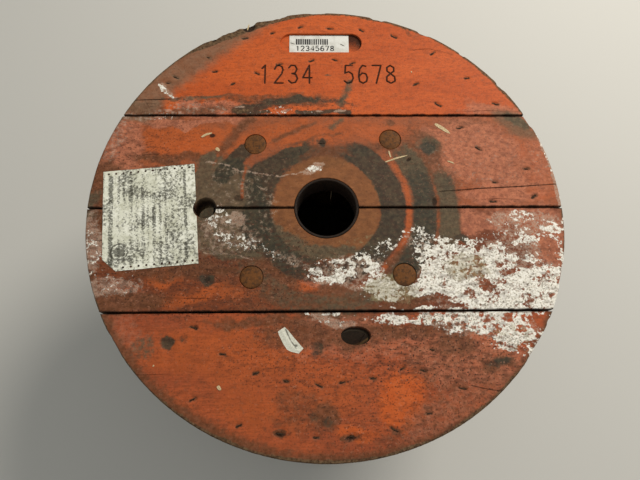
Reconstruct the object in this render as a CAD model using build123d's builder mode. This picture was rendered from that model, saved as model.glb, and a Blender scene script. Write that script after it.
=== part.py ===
from build123d import *

import os
from math import cos, radians, sin, tan

# Wooden cable drum, standing on its lower flange.
# The origin is the centre of the lower flange's outer face, on the floor, and +Z is the drum's axis.
# +Y points to the board that carries the number plate. All sizes are in millimetres.

# Flanges: two crossed layers of boards, nailed together and sawn round
flange_diameter = 800.0
board_thickness = 24.0
board_gap = 3.5
board_arris = 1.5
inner_board_width = 156.5

# Barrel: flat staves with bevelled sides, their ends seated in a round groove of each flange
barrel_diameter = 400.0
barrel_width = 400.0
stave_count = 24
stave_thickness = 18.0
stave_gap = 0.8
stave_arris = 1.5
groove_depth = 8.0
groove_clearance = 0.5

# Arbor bush: a short steel tube in each flange
bush_bore = 100.0
bush_wall = 4.0
bush_sink = 0.5
bush_clearance = 0.3

# Tie bolts: flat round head and square neck let into the upper flange
bolt_barrel_gap = 3.3
bolt_angles = (48.5, 135.8, 224.3, 317.0)
bolt_diameter = 12.0
bolt_hole_clearance = 0.5
bolt_end_chamfer = 1.5
head_diameter = 38.0
head_edge = 1.5
head_bevel_height = 2.2
head_bevel_width = 6.0
head_sink = 0.3
head_clearance = 1.0
neck_width = 12.0
neck_length = 7.0
neck_clearance = 0.3

# Nut and washer, sunk in the lower flange so that the drum stands on its boards.
# There are four of each, so their small circles are drawn with flat sides.
washer_diameter = 44.0
washer_thickness = 3.0
washer_clearance = 1.0
nut_across_flats = 18.0
nut_height = 10.0
nut_chamfer = 1.0
nut_bore_clearance = 0.1
bolt_past_nut = 2.0
bolt_end_sink = 2.0
small_circle_sides = 24

# Drive hole: takes the driving pin of a winding machine, one in each flange
drive_hole_diameter = 37.0
drive_hole_distance = 203.5
drive_hole_angle = 180.0

# Cable hole: a round-ended slot along the front board, just outside the barrel.
# The seams of the outer boards are set so that it lies whole in that board.
cable_hole_length = 47.0
cable_hole_width = 29.0
cable_hole_angle = -78.6
cable_hole_wall = 1.5
cable_hole_to_seam = 23.5

# Plate pocket: round-ended recess in the rear board, with a thin plate on its floor
pocket_length = 152.0
pocket_width = 41.0
pocket_depth = 5.0
pocket_shift = -6.0
pocket_rim_distance = 49.0
plate_length = 111.0
plate_width = 38.0
plate_thickness = 1.0
plate_shift = -3.5

# Paper label, glued askew on the upper flange, with one corner cut off
label_width = 154.0
label_height = 178.0
label_thickness = 0.4
label_rim_distance = 106.0
label_shift = -15.0
label_turn = 5.6
label_corner_cut = 22.0
label_hole_margin = 1.0

# Worked out from the sizes above
flange_radius = flange_diameter / 2
flange_thickness = 2 * board_thickness
upper_flange_base = flange_thickness + barrel_width
drum_height = upper_flange_base + flange_thickness
inner_pitch = inner_board_width + board_gap
inner_seams = [step * inner_pitch for step in (-1.5, -0.5, 0.5, 1.5)]
barrel_radius = barrel_diameter / 2
half_stave_angle = radians(180.0 / stave_count)
stave_outside = barrel_radius * cos(half_stave_angle)
stave_inside = stave_outside - stave_thickness
stave_length = barrel_width + 2 * groove_depth
bush_radius = bush_bore / 2 + bush_wall
head_height = head_edge + head_bevel_height
head_recess_depth = head_sink + head_height
head_seat = drum_height - head_recess_depth
washer_seat = bolt_end_sink + bolt_past_nut + nut_height + washer_thickness
bolt_distance = stave_inside - bolt_barrel_gap - bolt_diameter / 2
cable_hole_end = (cable_hole_length - cable_hole_width) / 2 * cos(radians(cable_hole_angle))
cable_hole_inside = barrel_radius + groove_clearance + cable_hole_wall
cable_hole_distance = cable_hole_inside + cable_hole_width / 2 + cable_hole_end
cable_hole_centre = (
    cable_hole_distance * cos(radians(cable_hole_angle)),
    cable_hole_distance * sin(radians(cable_hole_angle)),
)
outer_seam = -cable_hole_centre[1] - cable_hole_width / 2 - cable_hole_to_seam
outer_seams = [-outer_seam, 0.0, outer_seam]
pocket_centre = (pocket_shift, flange_radius - pocket_rim_distance - pocket_width / 2)
plate_centre = (pocket_centre[0] + plate_shift, pocket_centre[1])
bolt_centres = [
    (bolt_distance * cos(radians(angle)), bolt_distance * sin(radians(angle)))
    for angle in bolt_angles
]


def sides_of_boards(seams):
    """Low and high side of each board of a layer, from one rim to the other."""
    lows = [-flange_radius] + [seam + board_gap / 2 for seam in seams]
    highs = [seam - board_gap / 2 for seam in seams] + [flange_radius]
    return zip(lows, highs)


def make_outer_board(low, high, base, outer_face, cuts):
    """Board along X, sawn to the flange's circle, with the arris taken off its outer face."""
    with BuildPart() as board:
        with BuildSketch(Plane.XY.offset(base)):
            Circle(flange_radius)
            with Locations((0, (low + high) / 2)):
                Rectangle(flange_diameter, high - low, mode=Mode.INTERSECT)
        extrude(amount=board_thickness)
        chamfer(board.faces().sort_by(Axis.Z)[outer_face].edges(), board_arris)
        add(cuts.part, mode=Mode.SUBTRACT)
    return board.part


def make_inner_board(low, high, base, cuts):
    """Board along Y, sawn to the same circle, under or over the outer boards."""
    with BuildPart() as board:
        with BuildSketch(Plane.XY.offset(base)):
            Circle(flange_radius)
            with Locations(((low + high) / 2, 0)):
                Rectangle(high - low, flange_diameter, mode=Mode.INTERSECT)
        extrude(amount=board_thickness)
        add(cuts.part, mode=Mode.SUBTRACT)
    return board.part


def make_stave(turn):
    """Flat stave of the barrel, its sides bevelled to meet the next ones."""
    across = Plane(
        origin=(0, 0, flange_thickness - groove_depth),
        x_dir=(cos(radians(turn)), sin(radians(turn)), 0),
        z_dir=(0, 0, 1),
    )
    side_gap = stave_gap / 2 / cos(half_stave_angle)
    inside_half = stave_inside * tan(half_stave_angle) - side_gap
    outside_half = stave_outside * tan(half_stave_angle) - side_gap
    arris_half = (stave_outside - stave_arris) * tan(half_stave_angle) - side_gap
    with BuildPart() as stave:
        with BuildSketch(across):
            with BuildLine():
                Polyline(
                    (stave_inside, -inside_half),
                    (stave_inside, inside_half),
                    (stave_outside - stave_arris, arris_half),
                    (stave_outside, outside_half - stave_arris),
                    (stave_outside, stave_arris - outside_half),
                    (stave_outside - stave_arris, -arris_half),
                    close=True,
                )
            make_face()
        extrude(amount=stave_length)
        add(drive_drillings.part, mode=Mode.SUBTRACT)
    return stave.part


def make_bush(base):
    """Steel tube pressed through both layers of a flange."""
    with BuildPart() as bush:
        with BuildSketch(Plane.XY.offset(base + bush_sink)):
            Circle(bush_radius)
            Circle(bush_bore / 2, mode=Mode.SUBTRACT)
        extrude(amount=flange_thickness - 2 * bush_sink)
    return bush.part


def make_tie_bolt(x, y):
    """Bolt with a low bevelled head and a square neck, from the upper flange to below the nut."""
    seat = Plane(origin=(x, y, head_seat))
    upright = Plane(origin=(x, y, head_seat), x_dir=(1, 0, 0), z_dir=(0, -1, 0))
    with BuildPart() as bolt:
        with BuildSketch(upright):
            with BuildLine():
                Polyline(
                    (0, 0),
                    (head_diameter / 2, 0),
                    (head_diameter / 2, head_edge),
                    (head_diameter / 2 - head_bevel_width, head_height),
                    (0, head_height),
                    close=True,
                )
            make_face()
        revolve(axis=Axis((x, y, 0), (0, 0, 1)))
        with BuildSketch(seat):
            Rectangle(neck_width, neck_width)
        extrude(amount=-neck_length)
        with BuildSketch(seat):
            Circle(bolt_diameter / 2)
        extrude(amount=bolt_end_sink - head_seat)
        chamfer(bolt.faces().sort_by(Axis.Z)[0].edges(), bolt_end_chamfer)
    return bolt.part


def make_washer(x, y):
    """Round washer against the floor of the recess in the lower flange."""
    with BuildPart() as washer:
        with BuildSketch(Plane(origin=(x, y, washer_seat))):
            RegularPolygon(washer_diameter / 2, small_circle_sides)
            RegularPolygon(
                bolt_diameter / 2 + bolt_hole_clearance,
                small_circle_sides,
                major_radius=False,
                mode=Mode.SUBTRACT,
            )
        extrude(amount=-washer_thickness)
    return washer.part


def make_nut(x, y):
    """Hexagon nut under the washer, with the edges of its lower face turned off."""
    top = washer_seat - washer_thickness
    with BuildPart() as nut:
        with BuildSketch(Plane(origin=(x, y, top))):
            RegularPolygon(nut_across_flats / 2, 6, major_radius=False)
        extrude(amount=-nut_height)
        chamfer(nut.faces().sort_by(Axis.Z)[0].edges(), nut_chamfer)
        with BuildSketch(Plane(origin=(x, y, top))):
            RegularPolygon(bolt_diameter / 2 + nut_bore_clearance, small_circle_sides, major_radius=False)
        extrude(amount=-nut_height, mode=Mode.SUBTRACT)
    return nut.part


# Drive holes: drilled through both flanges once the barrel is in, so they notch the stave ends too
with BuildPart() as drive_drillings:
    with BuildSketch(Plane.XY, Plane.XY.offset(upper_flange_base)):
        with PolarLocations(drive_hole_distance, 1, start_angle=drive_hole_angle):
            Circle(drive_hole_diameter / 2)
    extrude(amount=flange_thickness)

# Bush, bolt and drive holes: through both flanges
with BuildPart() as through_holes:
    with BuildSketch():
        Circle(bush_radius + bush_clearance)
        with Locations(*bolt_centres):
            Circle(bolt_diameter / 2 + bolt_hole_clearance)
    extrude(amount=drum_height)
    add(drive_drillings.part)

# Cable hole: through both layers of the upper flange
with BuildPart() as cable_slot:
    with BuildSketch(Plane.XY.offset(upper_flange_base)):
        with Locations(cable_hole_centre):
            SlotOverall(cable_hole_length, cable_hole_width)
    extrude(amount=flange_thickness)

# Groove for the ends of the staves: it follows their flats, from the lower flange up into the upper one
with BuildPart() as stave_groove:
    with BuildSketch(Plane.XY.offset(flange_thickness - groove_depth)):
        RegularPolygon(
            stave_outside + groove_clearance,
            stave_count,
            major_radius=False,
            rotation=180.0 / stave_count,
        )
        RegularPolygon(
            stave_inside - groove_clearance,
            stave_count,
            major_radius=False,
            rotation=180.0 / stave_count,
            mode=Mode.SUBTRACT,
        )
    extrude(amount=stave_length)

# What is cut out of each layer of boards
with BuildPart() as upper_inner_cuts:
    add(through_holes.part)
    add(cable_slot.part)
    add(stave_groove.part)

with BuildPart() as upper_outer_cuts:
    add(through_holes.part)
    add(cable_slot.part)
    with BuildSketch(Plane.XY.offset(drum_height)):
        with Locations(*bolt_centres):
            Circle(head_diameter / 2 + head_clearance)
    extrude(amount=-head_recess_depth)
    with BuildSketch(Plane.XY.offset(head_seat)):
        with Locations(*bolt_centres):
            Rectangle(neck_width + 2 * neck_clearance, neck_width + 2 * neck_clearance)
    extrude(amount=-(neck_length + neck_clearance))
    with BuildSketch(Plane.XY.offset(drum_height)):
        with Locations(pocket_centre):
            SlotOverall(pocket_length, pocket_width)
    extrude(amount=-pocket_depth)

with BuildPart() as lower_inner_cuts:
    add(through_holes.part)
    add(stave_groove.part)

with BuildPart() as lower_outer_cuts:
    add(through_holes.part)
    with BuildSketch():
        with Locations(*bolt_centres):
            RegularPolygon(washer_diameter / 2 + washer_clearance, small_circle_sides, major_radius=False)
    extrude(amount=washer_seat)

# Every piece under its own name
pieces = {}

for number, (low, high) in enumerate(sides_of_boards(outer_seams), start=1):
    upper_base = drum_height - board_thickness
    pieces[f"upper_outer_board_{number}"] = make_outer_board(low, high, upper_base, -1, upper_outer_cuts)
    pieces[f"lower_outer_board_{number}"] = make_outer_board(low, high, 0.0, 0, lower_outer_cuts)

for number, (low, high) in enumerate(sides_of_boards(inner_seams), start=1):
    pieces[f"upper_inner_board_{number}"] = make_inner_board(low, high, upper_flange_base, upper_inner_cuts)
    pieces[f"lower_inner_board_{number}"] = make_inner_board(low, high, board_thickness, lower_inner_cuts)

for number in range(stave_count):
    pieces[f"stave_{number + 1:02d}"] = make_stave(number * 360.0 / stave_count)

pieces["lower_bush"] = make_bush(0.0)
pieces["upper_bush"] = make_bush(upper_flange_base)

for number, (x, y) in enumerate(bolt_centres, start=1):
    pieces[f"tie_bolt_{number}"] = make_tie_bolt(x, y)
    pieces[f"washer_{number}"] = make_washer(x, y)
    pieces[f"nut_{number}"] = make_nut(x, y)

with BuildPart() as number_plate:
    with BuildSketch(Plane.XY.offset(drum_height - pocket_depth)):
        with Locations(plate_centre):
            Rectangle(plate_length, plate_width)
    extrude(amount=plate_thickness)
pieces["number_plate"] = number_plate.part

# The label lies askew, and its edge is torn off beside the drive hole
label_plane = Plane(
    origin=(label_rim_distance - flange_radius, label_shift, drum_height),
    x_dir=(cos(radians(label_turn)), sin(radians(label_turn)), 0),
    z_dir=(0, 0, 1),
)
with BuildPart() as paper_label:
    with BuildSketch(label_plane):
        Rectangle(label_width, label_height)
        with Locations((-label_width / 2, -label_height / 2)):
            Rectangle(
                label_corner_cut * 2 ** 0.5,
                label_corner_cut * 2 ** 0.5,
                rotation=45,
                mode=Mode.SUBTRACT,
            )
    extrude(amount=label_thickness)
    with BuildSketch(Plane.XY.offset(drum_height)):
        with PolarLocations(drive_hole_distance, 1, start_angle=drive_hole_angle):
            Circle(drive_hole_diameter / 2 + label_hole_margin)
    extrude(amount=label_thickness, mode=Mode.SUBTRACT)
pieces["paper_label"] = paper_label.part

os.makedirs("parts", exist_ok=True)
for name, piece in pieces.items():
    piece.label = name
    export_step(piece, f"parts/{name}.step")
print(len(pieces), "pieces, drum height", drum_height)
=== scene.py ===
import bmesh
import bpy
import numpy as np
from mathutils import Matrix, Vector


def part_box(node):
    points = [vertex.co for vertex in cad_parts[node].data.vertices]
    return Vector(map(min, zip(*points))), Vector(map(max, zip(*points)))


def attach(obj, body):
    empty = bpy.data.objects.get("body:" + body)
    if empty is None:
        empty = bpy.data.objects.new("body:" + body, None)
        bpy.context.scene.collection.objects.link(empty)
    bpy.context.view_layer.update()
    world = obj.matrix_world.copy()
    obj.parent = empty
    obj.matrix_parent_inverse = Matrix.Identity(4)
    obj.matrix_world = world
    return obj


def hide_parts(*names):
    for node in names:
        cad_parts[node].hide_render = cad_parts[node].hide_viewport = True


# Wooden cable drum standing on one flange. Lengths are in mm; makeMesh turns them into metres.
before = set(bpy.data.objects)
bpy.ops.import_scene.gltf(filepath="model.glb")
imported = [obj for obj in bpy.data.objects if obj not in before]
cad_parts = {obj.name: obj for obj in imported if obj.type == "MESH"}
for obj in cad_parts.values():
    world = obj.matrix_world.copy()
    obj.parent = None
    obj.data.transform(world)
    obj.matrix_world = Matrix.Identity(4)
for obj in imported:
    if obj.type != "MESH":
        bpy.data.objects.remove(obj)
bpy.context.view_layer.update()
mm = 0.001
lattice = 128
sharpAngle = np.radians(35)
plainNumber = "12345678"  # stands for the real number, on the rear board and on its plate


def solidBox(node):  # lowest and highest corner of a solid, in mm
    low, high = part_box(node)
    return np.array(low) / mm, np.array(high) / mm


def centreOf(node):  # middle of a solid's box, in mm
    return sum(solidBox(node)) / 2


radius = round(solidBox("upper_outer_board_2")[1][0], 1)
topFace = solidBox("upper_outer_board_2")[1][2]
innerTopFace = solidBox("upper_inner_board_3")[0][2]
innerBottomFace = solidBox("lower_inner_board_3")[1][2]


# Shapes: every surface is a grid of points worked out as whole arrays

def ease(value):  # 3t^2 - 2t^3 of the value held between 0 and 1
    t = np.clip(value, 0, 1)
    return t * t * (3 - 2 * t)


def noise(x, y, size, seed):
    # random heights on a lattice of that size in mm, eased from corner to corner, 0 to 1; the seed also
    # shifts the lattice, so that two layers of noise don't line up
    table = np.random.default_rng(seed).random((lattice, lattice))
    sizeX, sizeY = np.broadcast_to(size, 2)
    gridX, gridY = x / sizeX + 7.3 * seed, y / sizeY + 3.1 * seed
    cellX, cellY = np.floor(gridX).astype(int), np.floor(gridY).astype(int)
    partX, partY = ease(gridX - cellX), ease(gridY - cellY)
    a, b = cellX % lattice, cellY % lattice
    c, d = (a + 1) % lattice, (b + 1) % lattice
    front = table[a, b] * (1 - partX) + table[c, b] * partX
    rear = table[a, d] * (1 - partX) + table[c, d] * partX
    return front * (1 - partY) + rear * partY


def fractal(x, y, size, seed, layers=4):
    # noise plus half as much of half the size, and so on, 0 to 1
    size = np.broadcast_to(size, 2)
    total = sum(noise(x, y, size / 2 ** k, seed + k) / 2 ** k for k in range(layers))
    return total / (2 - 2.0 ** (1 - layers))


def spaced(start, end, step, fine=None, fineStep=1.0):
    # even steps from start to end, shorter ones inside the fine stretch
    if fine is None:
        return np.linspace(start, end, int(round((end - start) / step)) + 1)
    parts = [spaced(start, fine[0], step), spaced(fine[0], fine[1], fineStep), spaced(fine[1], end, step)]
    return np.unique(np.concatenate(parts))


def gridShape(points, closedRows=False):
    # quads between neighbours of a grid whose rows are loops; a cap closes the first and the last row,
    # unless the rows go round as well
    rows, columns = points.shape[:2]
    index = np.arange(rows * columns).reshape(rows, columns)
    here = index if closedRows else index[:-1]
    ahead = np.roll(index, -1, 0) if closedRows else index[1:]
    quads = np.stack([here, np.roll(here, -1, 1), np.roll(ahead, -1, 1), ahead], -1)
    faces = quads.reshape(-1, 4).tolist()
    if not closedRows:
        faces += [index[0][::-1].tolist(), index[-1].tolist()]
    return points.reshape(-1, 3), faces


def joined(shapes):
    # several shapes as one list of points and one of faces
    points, faces, start = [], [], 0
    for shapePoints, shapeFaces in shapes:
        points.append(shapePoints)
        faces += [[i + start for i in face] for face in shapeFaces]
        start += len(shapePoints)
    return np.concatenate(points), faces


def slab(columns, rows, low, high, shownZ, hiddenZ, arris):
    # a flat bar: side, arris, shown face, arris and side make one section, repeated at every column
    lift = np.sign(shownZ - hiddenZ)
    levels = np.linspace(hiddenZ, shownZ, 4)[:3]
    count = len(columns)
    arris = np.broadcast_to(arris, (2, count))
    points = np.zeros((count, len(rows) + 8, 3))
    points[:, :, 0] = columns[:, None]
    points[:, :3, 1], points[:, :3, 2] = low, levels
    points[:, 3, 1], points[:, 3, 2] = low, shownZ - lift * arris[0]
    points[:, 4:-4, 1], points[:, 4:-4, 2] = rows, shownZ
    points[:, -4, 1], points[:, -4, 2] = high, shownZ - lift * arris[1]
    points[:, -3:, 1], points[:, -3:, 2] = high, levels[::-1]
    points[:, 4, 1] = low + arris[0]
    points[:, -5, 1] = high - arris[1]
    return points


def rings(centre, outline, levels):
    # an outline (angle to radius) stacked at levels of (z, growth), for holes, heads, bushes and rims
    angle = circleAngles(len(outline))
    points = np.zeros((len(levels), len(outline), 3))
    for row, (z, growth) in enumerate(levels):
        points[row, :, 0] = centre[0] + (outline + growth) * np.cos(angle)
        points[row, :, 1] = centre[1] + (outline + growth) * np.sin(angle)
        points[row, :, 2] = z
    return points


def turned(centre, profile, sides):
    # points of (radius, z) turned round the centre; a radius may also be one value for each side
    return np.concatenate([rings(centre, reach + np.zeros(sides), [(z, 0)]) for reach, z in profile])


def circleAngles(sides):  # even steps once round
    return np.linspace(0, 2 * np.pi, sides, endpoint=False)


def carried(path, section, width, height):
    # a closed section in (side, up) carried along a path; width and height scale it at each point
    path, section = np.asarray(path, float), np.asarray(section, float)
    ahead = np.gradient(path, axis=0)
    ahead /= np.linalg.norm(ahead, axis=1)[:, None] + 1e-9
    side = np.cross([0.0, 0.0, 1.0], ahead)
    side /= np.linalg.norm(side, axis=1)[:, None] + 1e-9
    up = np.cross(ahead, side)
    width, height = np.broadcast_to(width, len(path)), np.broadcast_to(height, len(path))
    return gridShape(path[:, None] + side[:, None] * (section[:, 0] * width[:, None])[:, :, None]
                     + up[:, None] * (section[:, 1] * height[:, None])[:, :, None])


boxSection = [(-0.5, 0), (0.5, 0), (0.5, 1), (-0.5, 1)]
wedgeSection = [(-0.1, -1), (0.1, -1), (0.5, 0.2), (-0.5, 0.2)]
roundSection = [(0.5 * np.cos(a), 0.5 * np.sin(a)) for a in circleAngles(6)]


def pathDistance(x, y, points):
    # shortest distance in mm from each place to a chain of straight runs
    nearest = np.full(np.shape(x), 1e9)
    for (x0, y0), (x1, y1) in zip(points[:-1], points[1:]):
        runX, runY = x1 - x0, y1 - y0
        share = np.clip(((x - x0) * runX + (y - y0) * runY) / (runX ** 2 + runY ** 2 + 1e-9), 0, 1)
        nearest = np.minimum(nearest, np.hypot(x - x0 - share * runX, y - y0 - share * runY))
    return nearest


def makeMesh(name, shape):
    # points in mm and faces become a mesh whose faces look outward
    points, faces = shape
    mesh = bpy.data.meshes.new(name)
    mesh.from_pydata((np.asarray(points) * mm).tolist(), [], faces)
    work = bmesh.new()
    work.from_mesh(mesh)
    bmesh.ops.recalc_face_normals(work, faces=work.faces)
    work.to_mesh(mesh)
    work.free()
    return mesh


def carve(mesh, shape, operation="DIFFERENCE"):
    # takes a shape out of a mesh, or keeps only what lies inside it
    body = bpy.data.objects.new("body", mesh)
    tool = bpy.data.objects.new("tool", makeMesh("tool", shape))
    for part in (body, tool):
        bpy.context.scene.collection.objects.link(part)
    cut = body.modifiers.new("cut", "BOOLEAN")
    cut.operation, cut.object, cut.solver = operation, tool, "MANIFOLD"
    graph = bpy.context.evaluated_depsgraph_get()
    result = bpy.data.meshes.new_from_object(body.evaluated_get(graph))
    for part in (body, tool):
        bpy.data.objects.remove(part)
    return result


def readPoints(mesh):  # the points of a mesh, in mm
    flat = np.zeros(len(mesh.vertices) * 3)
    mesh.vertices.foreach_get("co", flat)
    return flat.reshape(-1, 3) / mm


def writePoints(mesh, points):
    mesh.vertices.foreach_set("co", (points * mm).ravel())
    mesh.update()


def writeMasks(mesh, masks):  # one value for each point and mask, read by the materials
    for name, value in masks.items():
        layer = mesh.attributes.new(name, "FLOAT", "POINT")
        layer.data.foreach_set("value", np.asarray(value, np.float32))


def deepen(masks, name, value, where=slice(None)):
    # raises a mask to the value wherever it is lower
    masks[name][where] = np.maximum(masks[name][where], value)


def makePiece(name, mesh, material, replaced=()):
    # takes a mesh, or a shape to make one of; edges sharper than the angle stay crisp
    if isinstance(mesh, tuple):
        mesh = makeMesh(name, mesh)
    piece = bpy.data.objects.new(name, mesh)
    bpy.context.scene.collection.objects.link(piece)
    mesh.polygons.foreach_set("use_smooth", np.ones(len(mesh.polygons), bool))
    mesh.set_sharp_from_angle(angle=sharpAngle)
    mesh.materials.clear()
    mesh.materials.append(material)
    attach(piece, "root")
    if replaced:
        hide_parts(*replaced)


# Materials: one function adds a node, one joins sockets to the shader, one turns a hex colour to linear

def colour(code):
    values = np.array([int(code[i:i + 2], 16) for i in (1, 3, 5)]) / 255
    linear = np.where(values <= 0.04045, values / 12.92, ((values + 0.055) / 1.055) ** 2.4)
    return (*linear.tolist(), 1.0)


def addNode(tree, kind, inputs=None, out=0, **settings):
    node = tree.nodes.new("ShaderNode" + kind)
    for key, value in settings.items():
        setattr(node, key, value)
    for key, value in (inputs or {}).items():
        if isinstance(value, bpy.types.NodeSocket):
            tree.links.new(value, node.inputs[key])
        else:
            node.inputs[key].default_value = value
    return node.outputs[out]


def wire(tree, shader, **sockets):
    for key, value in sockets.items():
        tree.links.new(value, shader.inputs[key.replace("_", " ")])


def newMaterial(name, **settings):
    material = bpy.data.materials.new(name)
    material.use_nodes = True
    tree = material.node_tree
    shader = tree.nodes["Principled BSDF"]
    for key, value in settings.items():
        shader.inputs[key.replace("_", " ")].default_value = value
    return material, tree, shader, addNode(tree, "TexCoord", out="Object")


even = (1, 1, 1)


def speckle(tree, place, size, low, high, detail=4.0, stretch=even):
    # 0 where noise of that size in mm is under low, 1 where it is over high
    scaled = addNode(tree, "Mapping", {"Vector": place, "Scale": stretch})
    field = addNode(tree, "TexNoise", {"Vector": scaled, "Scale": 1 / (size * mm), "Detail": detail,
                                       "Roughness": 0.6})
    return addNode(tree, "MapRange", {"Value": field, "From Min": low, "From Max": high},
                   interpolation_type="SMOOTHSTEP")


def tinted(tree, under, code, share, cover=1.0):
    # lays one colour over another, as dense as the share says, up to the cover
    part = addNode(tree, "Math", {0: share, 1: cover}, operation="MULTIPLY")
    return addNode(tree, "MixRGB", {"Fac": part, "Color1": under, "Color2": colour(code)})


def wornBoard(name, look, grain):
    # Sawn pine under a thin orange-red stain: matt, mottled, with grain showing as fine streaks,
    # and over it, from the point masks, rubbed brown, rubber black, plaster, bare wood and pits
    material, tree, shader, place = newMaterial(name, Specular_IOR_Level=0.18)
    along, wide, short = (tuple(share if axis == grain else 1.0 for axis in "xyz") for share in (0.035, 0.3, 0.45))
    streak = speckle(tree, place, 1.6, 0.38, 0.64, 3.0, along)
    mottle = speckle(tree, place, 9, 0.44, 0.68, 7.0)
    tone = tinted(tree, colour(look["stain"]), look["shade"], speckle(tree, place, 48, 0.36, 0.64, 6.0, wide))
    tone = tinted(tree, tone, look["streakTone"], streak, look["streak"])
    tone = tinted(tree, tone, look["mottleTone"], mottle, look["mottle"])
    tone = tinted(tree, tone, look["mottleTone"], speckle(tree, place, 2.4, 0.52, 0.66, 3.0, short), 0.4)
    rough = 0.62
    for layer in look["layers"]:
        mask = addNode(tree, "Attribute", out="Fac", attribute_name=layer["mask"])
        field = addNode(tree, "TexNoise", {"Vector": place, "Scale": 1 / (layer["size"] * mm),
                                           "Detail": 7.0, "Roughness": 0.66})
        broken = addNode(tree, "Math", {0: field, 1: layer["ragged"], 2: mask}, operation="MULTIPLY_ADD")
        share = addNode(tree, "MapRange", {"Value": broken, "From Min": layer["start"] - layer["edge"],
                                           "From Max": layer["start"] + layer["edge"]},
                        interpolation_type="SMOOTHSTEP")
        share = addNode(tree, "Math", {0: share, 1: layer["cover"]}, operation="MULTIPLY")
        inner = tinted(tree, colour(layer["tone"]), layer["second"],
                       speckle(tree, place, layer["patch"], 0.36, 0.66, 6.0))
        tone = addNode(tree, "MixRGB", {"Fac": share, "Color1": tone, "Color2": inner})
        rough = addNode(tree, "Mix", {0: share, 2: rough, 3: layer["rough"]})
    worn = addNode(tree, "Attribute", out="Fac", attribute_name="speck")
    for size, low, high, stretch, code, cover in (
            (6.5, 0.48, 0.62, short, "#4B2A1A", 0.55), (3.6, 0.58, 0.68, even, "#C58F74", 0.36),
            (3.0, 0.56, 0.62, even, "#2B1A10", 0.85)):
        part = addNode(tree, "Math", {0: speckle(tree, place, size, low, high, 9.0, stretch), 1: worn},
                       operation="MULTIPLY")
        tone = tinted(tree, tone, code, part, cover)
    relief = addNode(tree, "Math", {0: streak, 1: 0.4, 2: mottle}, operation="MULTIPLY_ADD")
    bump = addNode(tree, "Bump", {"Height": relief, "Strength": 0.4, "Distance": 0.3 * mm})
    wire(tree, shader, Base_Color=tone, Roughness=rough, Normal=bump)
    return material


# Layers over the stain, from the bottom up: the mask and noise of a size in mm, times ragged, are added, and
# the layer shows where they pass start, over an edge that wide; patch is the size of its second tone
layerKeys = ("mask", "tone", "second", "size", "ragged", "start", "edge", "patch", "cover", "rough")
layers = [dict(zip(layerKeys, row)) for row in (
    ("fresh", "#A95223", "#BA5B2A", 26, 1.0, 1.0, 0.45, 22, 0.85, 0.58),
    ("bright", "#BE5722", "#C55F2A", 18, 0.9, 0.95, 0.4, 20, 0.9, 0.55),
    ("dust", "#A0634C", "#C47C5D", 9, 1.5, 1.2, 0.36, 7, 0.8, 0.8),
    ("brown", "#58371F", "#774C34", 11, 1.4, 1.2, 0.38, 8, 0.85, 0.7),
    ("ash", "#73563F", "#7F6650", 16, 0.9, 0.95, 0.5, 18, 0.85, 0.75),
    ("rust", "#774D2D", "#8A5A35", 14, 0.9, 0.95, 0.45, 12, 0.85, 0.7),
    ("soil", "#4D4737", "#655944", 9, 1.5, 1.2, 0.34, 7, 0.9, 0.75),
    ("rubber", "#2A2920", "#484231", 8, 1.4, 1.15, 0.32, 6, 0.93, 0.62),
    ("bare", "#6E5940", "#3A2B1B", 8, 1.4, 1.2, 0.25, 5, 0.95, 0.85),
    ("pale", "#A5806C", "#CDB7A3", 6, 2.2, 1.8, 0.22, 3, 0.62, 0.85),
    ("plaster", "#FAF8EF", "#D6D0BF", 5, 1.9, 1.66, 0.07, 3, 0.97, 0.9),
    ("silt", "#857A57", "#A79C78", 9, 2.2, 1.85, 0.25, 4, 0.55, 0.85),
    # black soot, which also carries painted shade: in holes, dents and splits, under the label, at the pocket's far
    # end and on the staves below the holes
    ("sootAndShade", "#170F09", "#2A1C12", 3, 0.5, 0.75, 0.35, 4, 0.93, 0.85),
)]
bareLayers = [layer for layer in layers if layer["mask"] in ("brown", "rust", "soil", "rubber", "sootAndShade")]


def woodLook(stain, shade, streakTone, streak, mottleTone, mottle, over=layers):
    return {"stain": stain, "shade": shade, "streakTone": streakTone, "streak": streak,
            "mottleTone": mottleTone, "mottle": mottle, "layers": over}


# Stained pine, one look for each board of the upper side: cleaner at the rear, duller and browner in between;
# their differences in brightness are partly painted light falloff, darker away from the light at the rear
boardLooks = {
    "rear": woodLook("#CB5F29", "#BF5624", "#96431C", 0.22, "#9A4820", 0.22),
    "midRear": woodLook("#A65A34", "#95502E", "#6F3A20", 0.26, "#80503A", 0.3),
    "midFront": woodLook("#884524", "#6F381E", "#522A17", 0.3, "#5C3220", 0.5),
    "front": woodLook("#B1562E", "#9E4D2D", "#683417", 0.3, "#754024", 0.42),
    "under": woodLook("#92491F", "#73401F", "#553018", 0.35, "#5A3A24", 0.6),
}
# Bare, weathered pine of the inner faces: grey-tan, with darker summer wood in fine lines
wornPine = woodLook("#867253", "#6E5F45", "#463826", 0.55, "#544532", 0.5, bareLayers)
# Raw pine of the staves: warmer, cleaner, same fine lines
rawPine = woodLook("#A58252", "#937045", "#64472A", 0.5, "#785D3C", 0.4, bareLayers)
pineAlong = {axis: wornBoard("weatheredPineAlong" + axis.upper(), wornPine, axis) for axis in "xy"}
stavePine = wornBoard("rawPineStave", rawPine, "z")
stained = {row: wornBoard("stainedPine" + row.capitalize(), look, "x") for row, look in boardLooks.items()}


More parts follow.
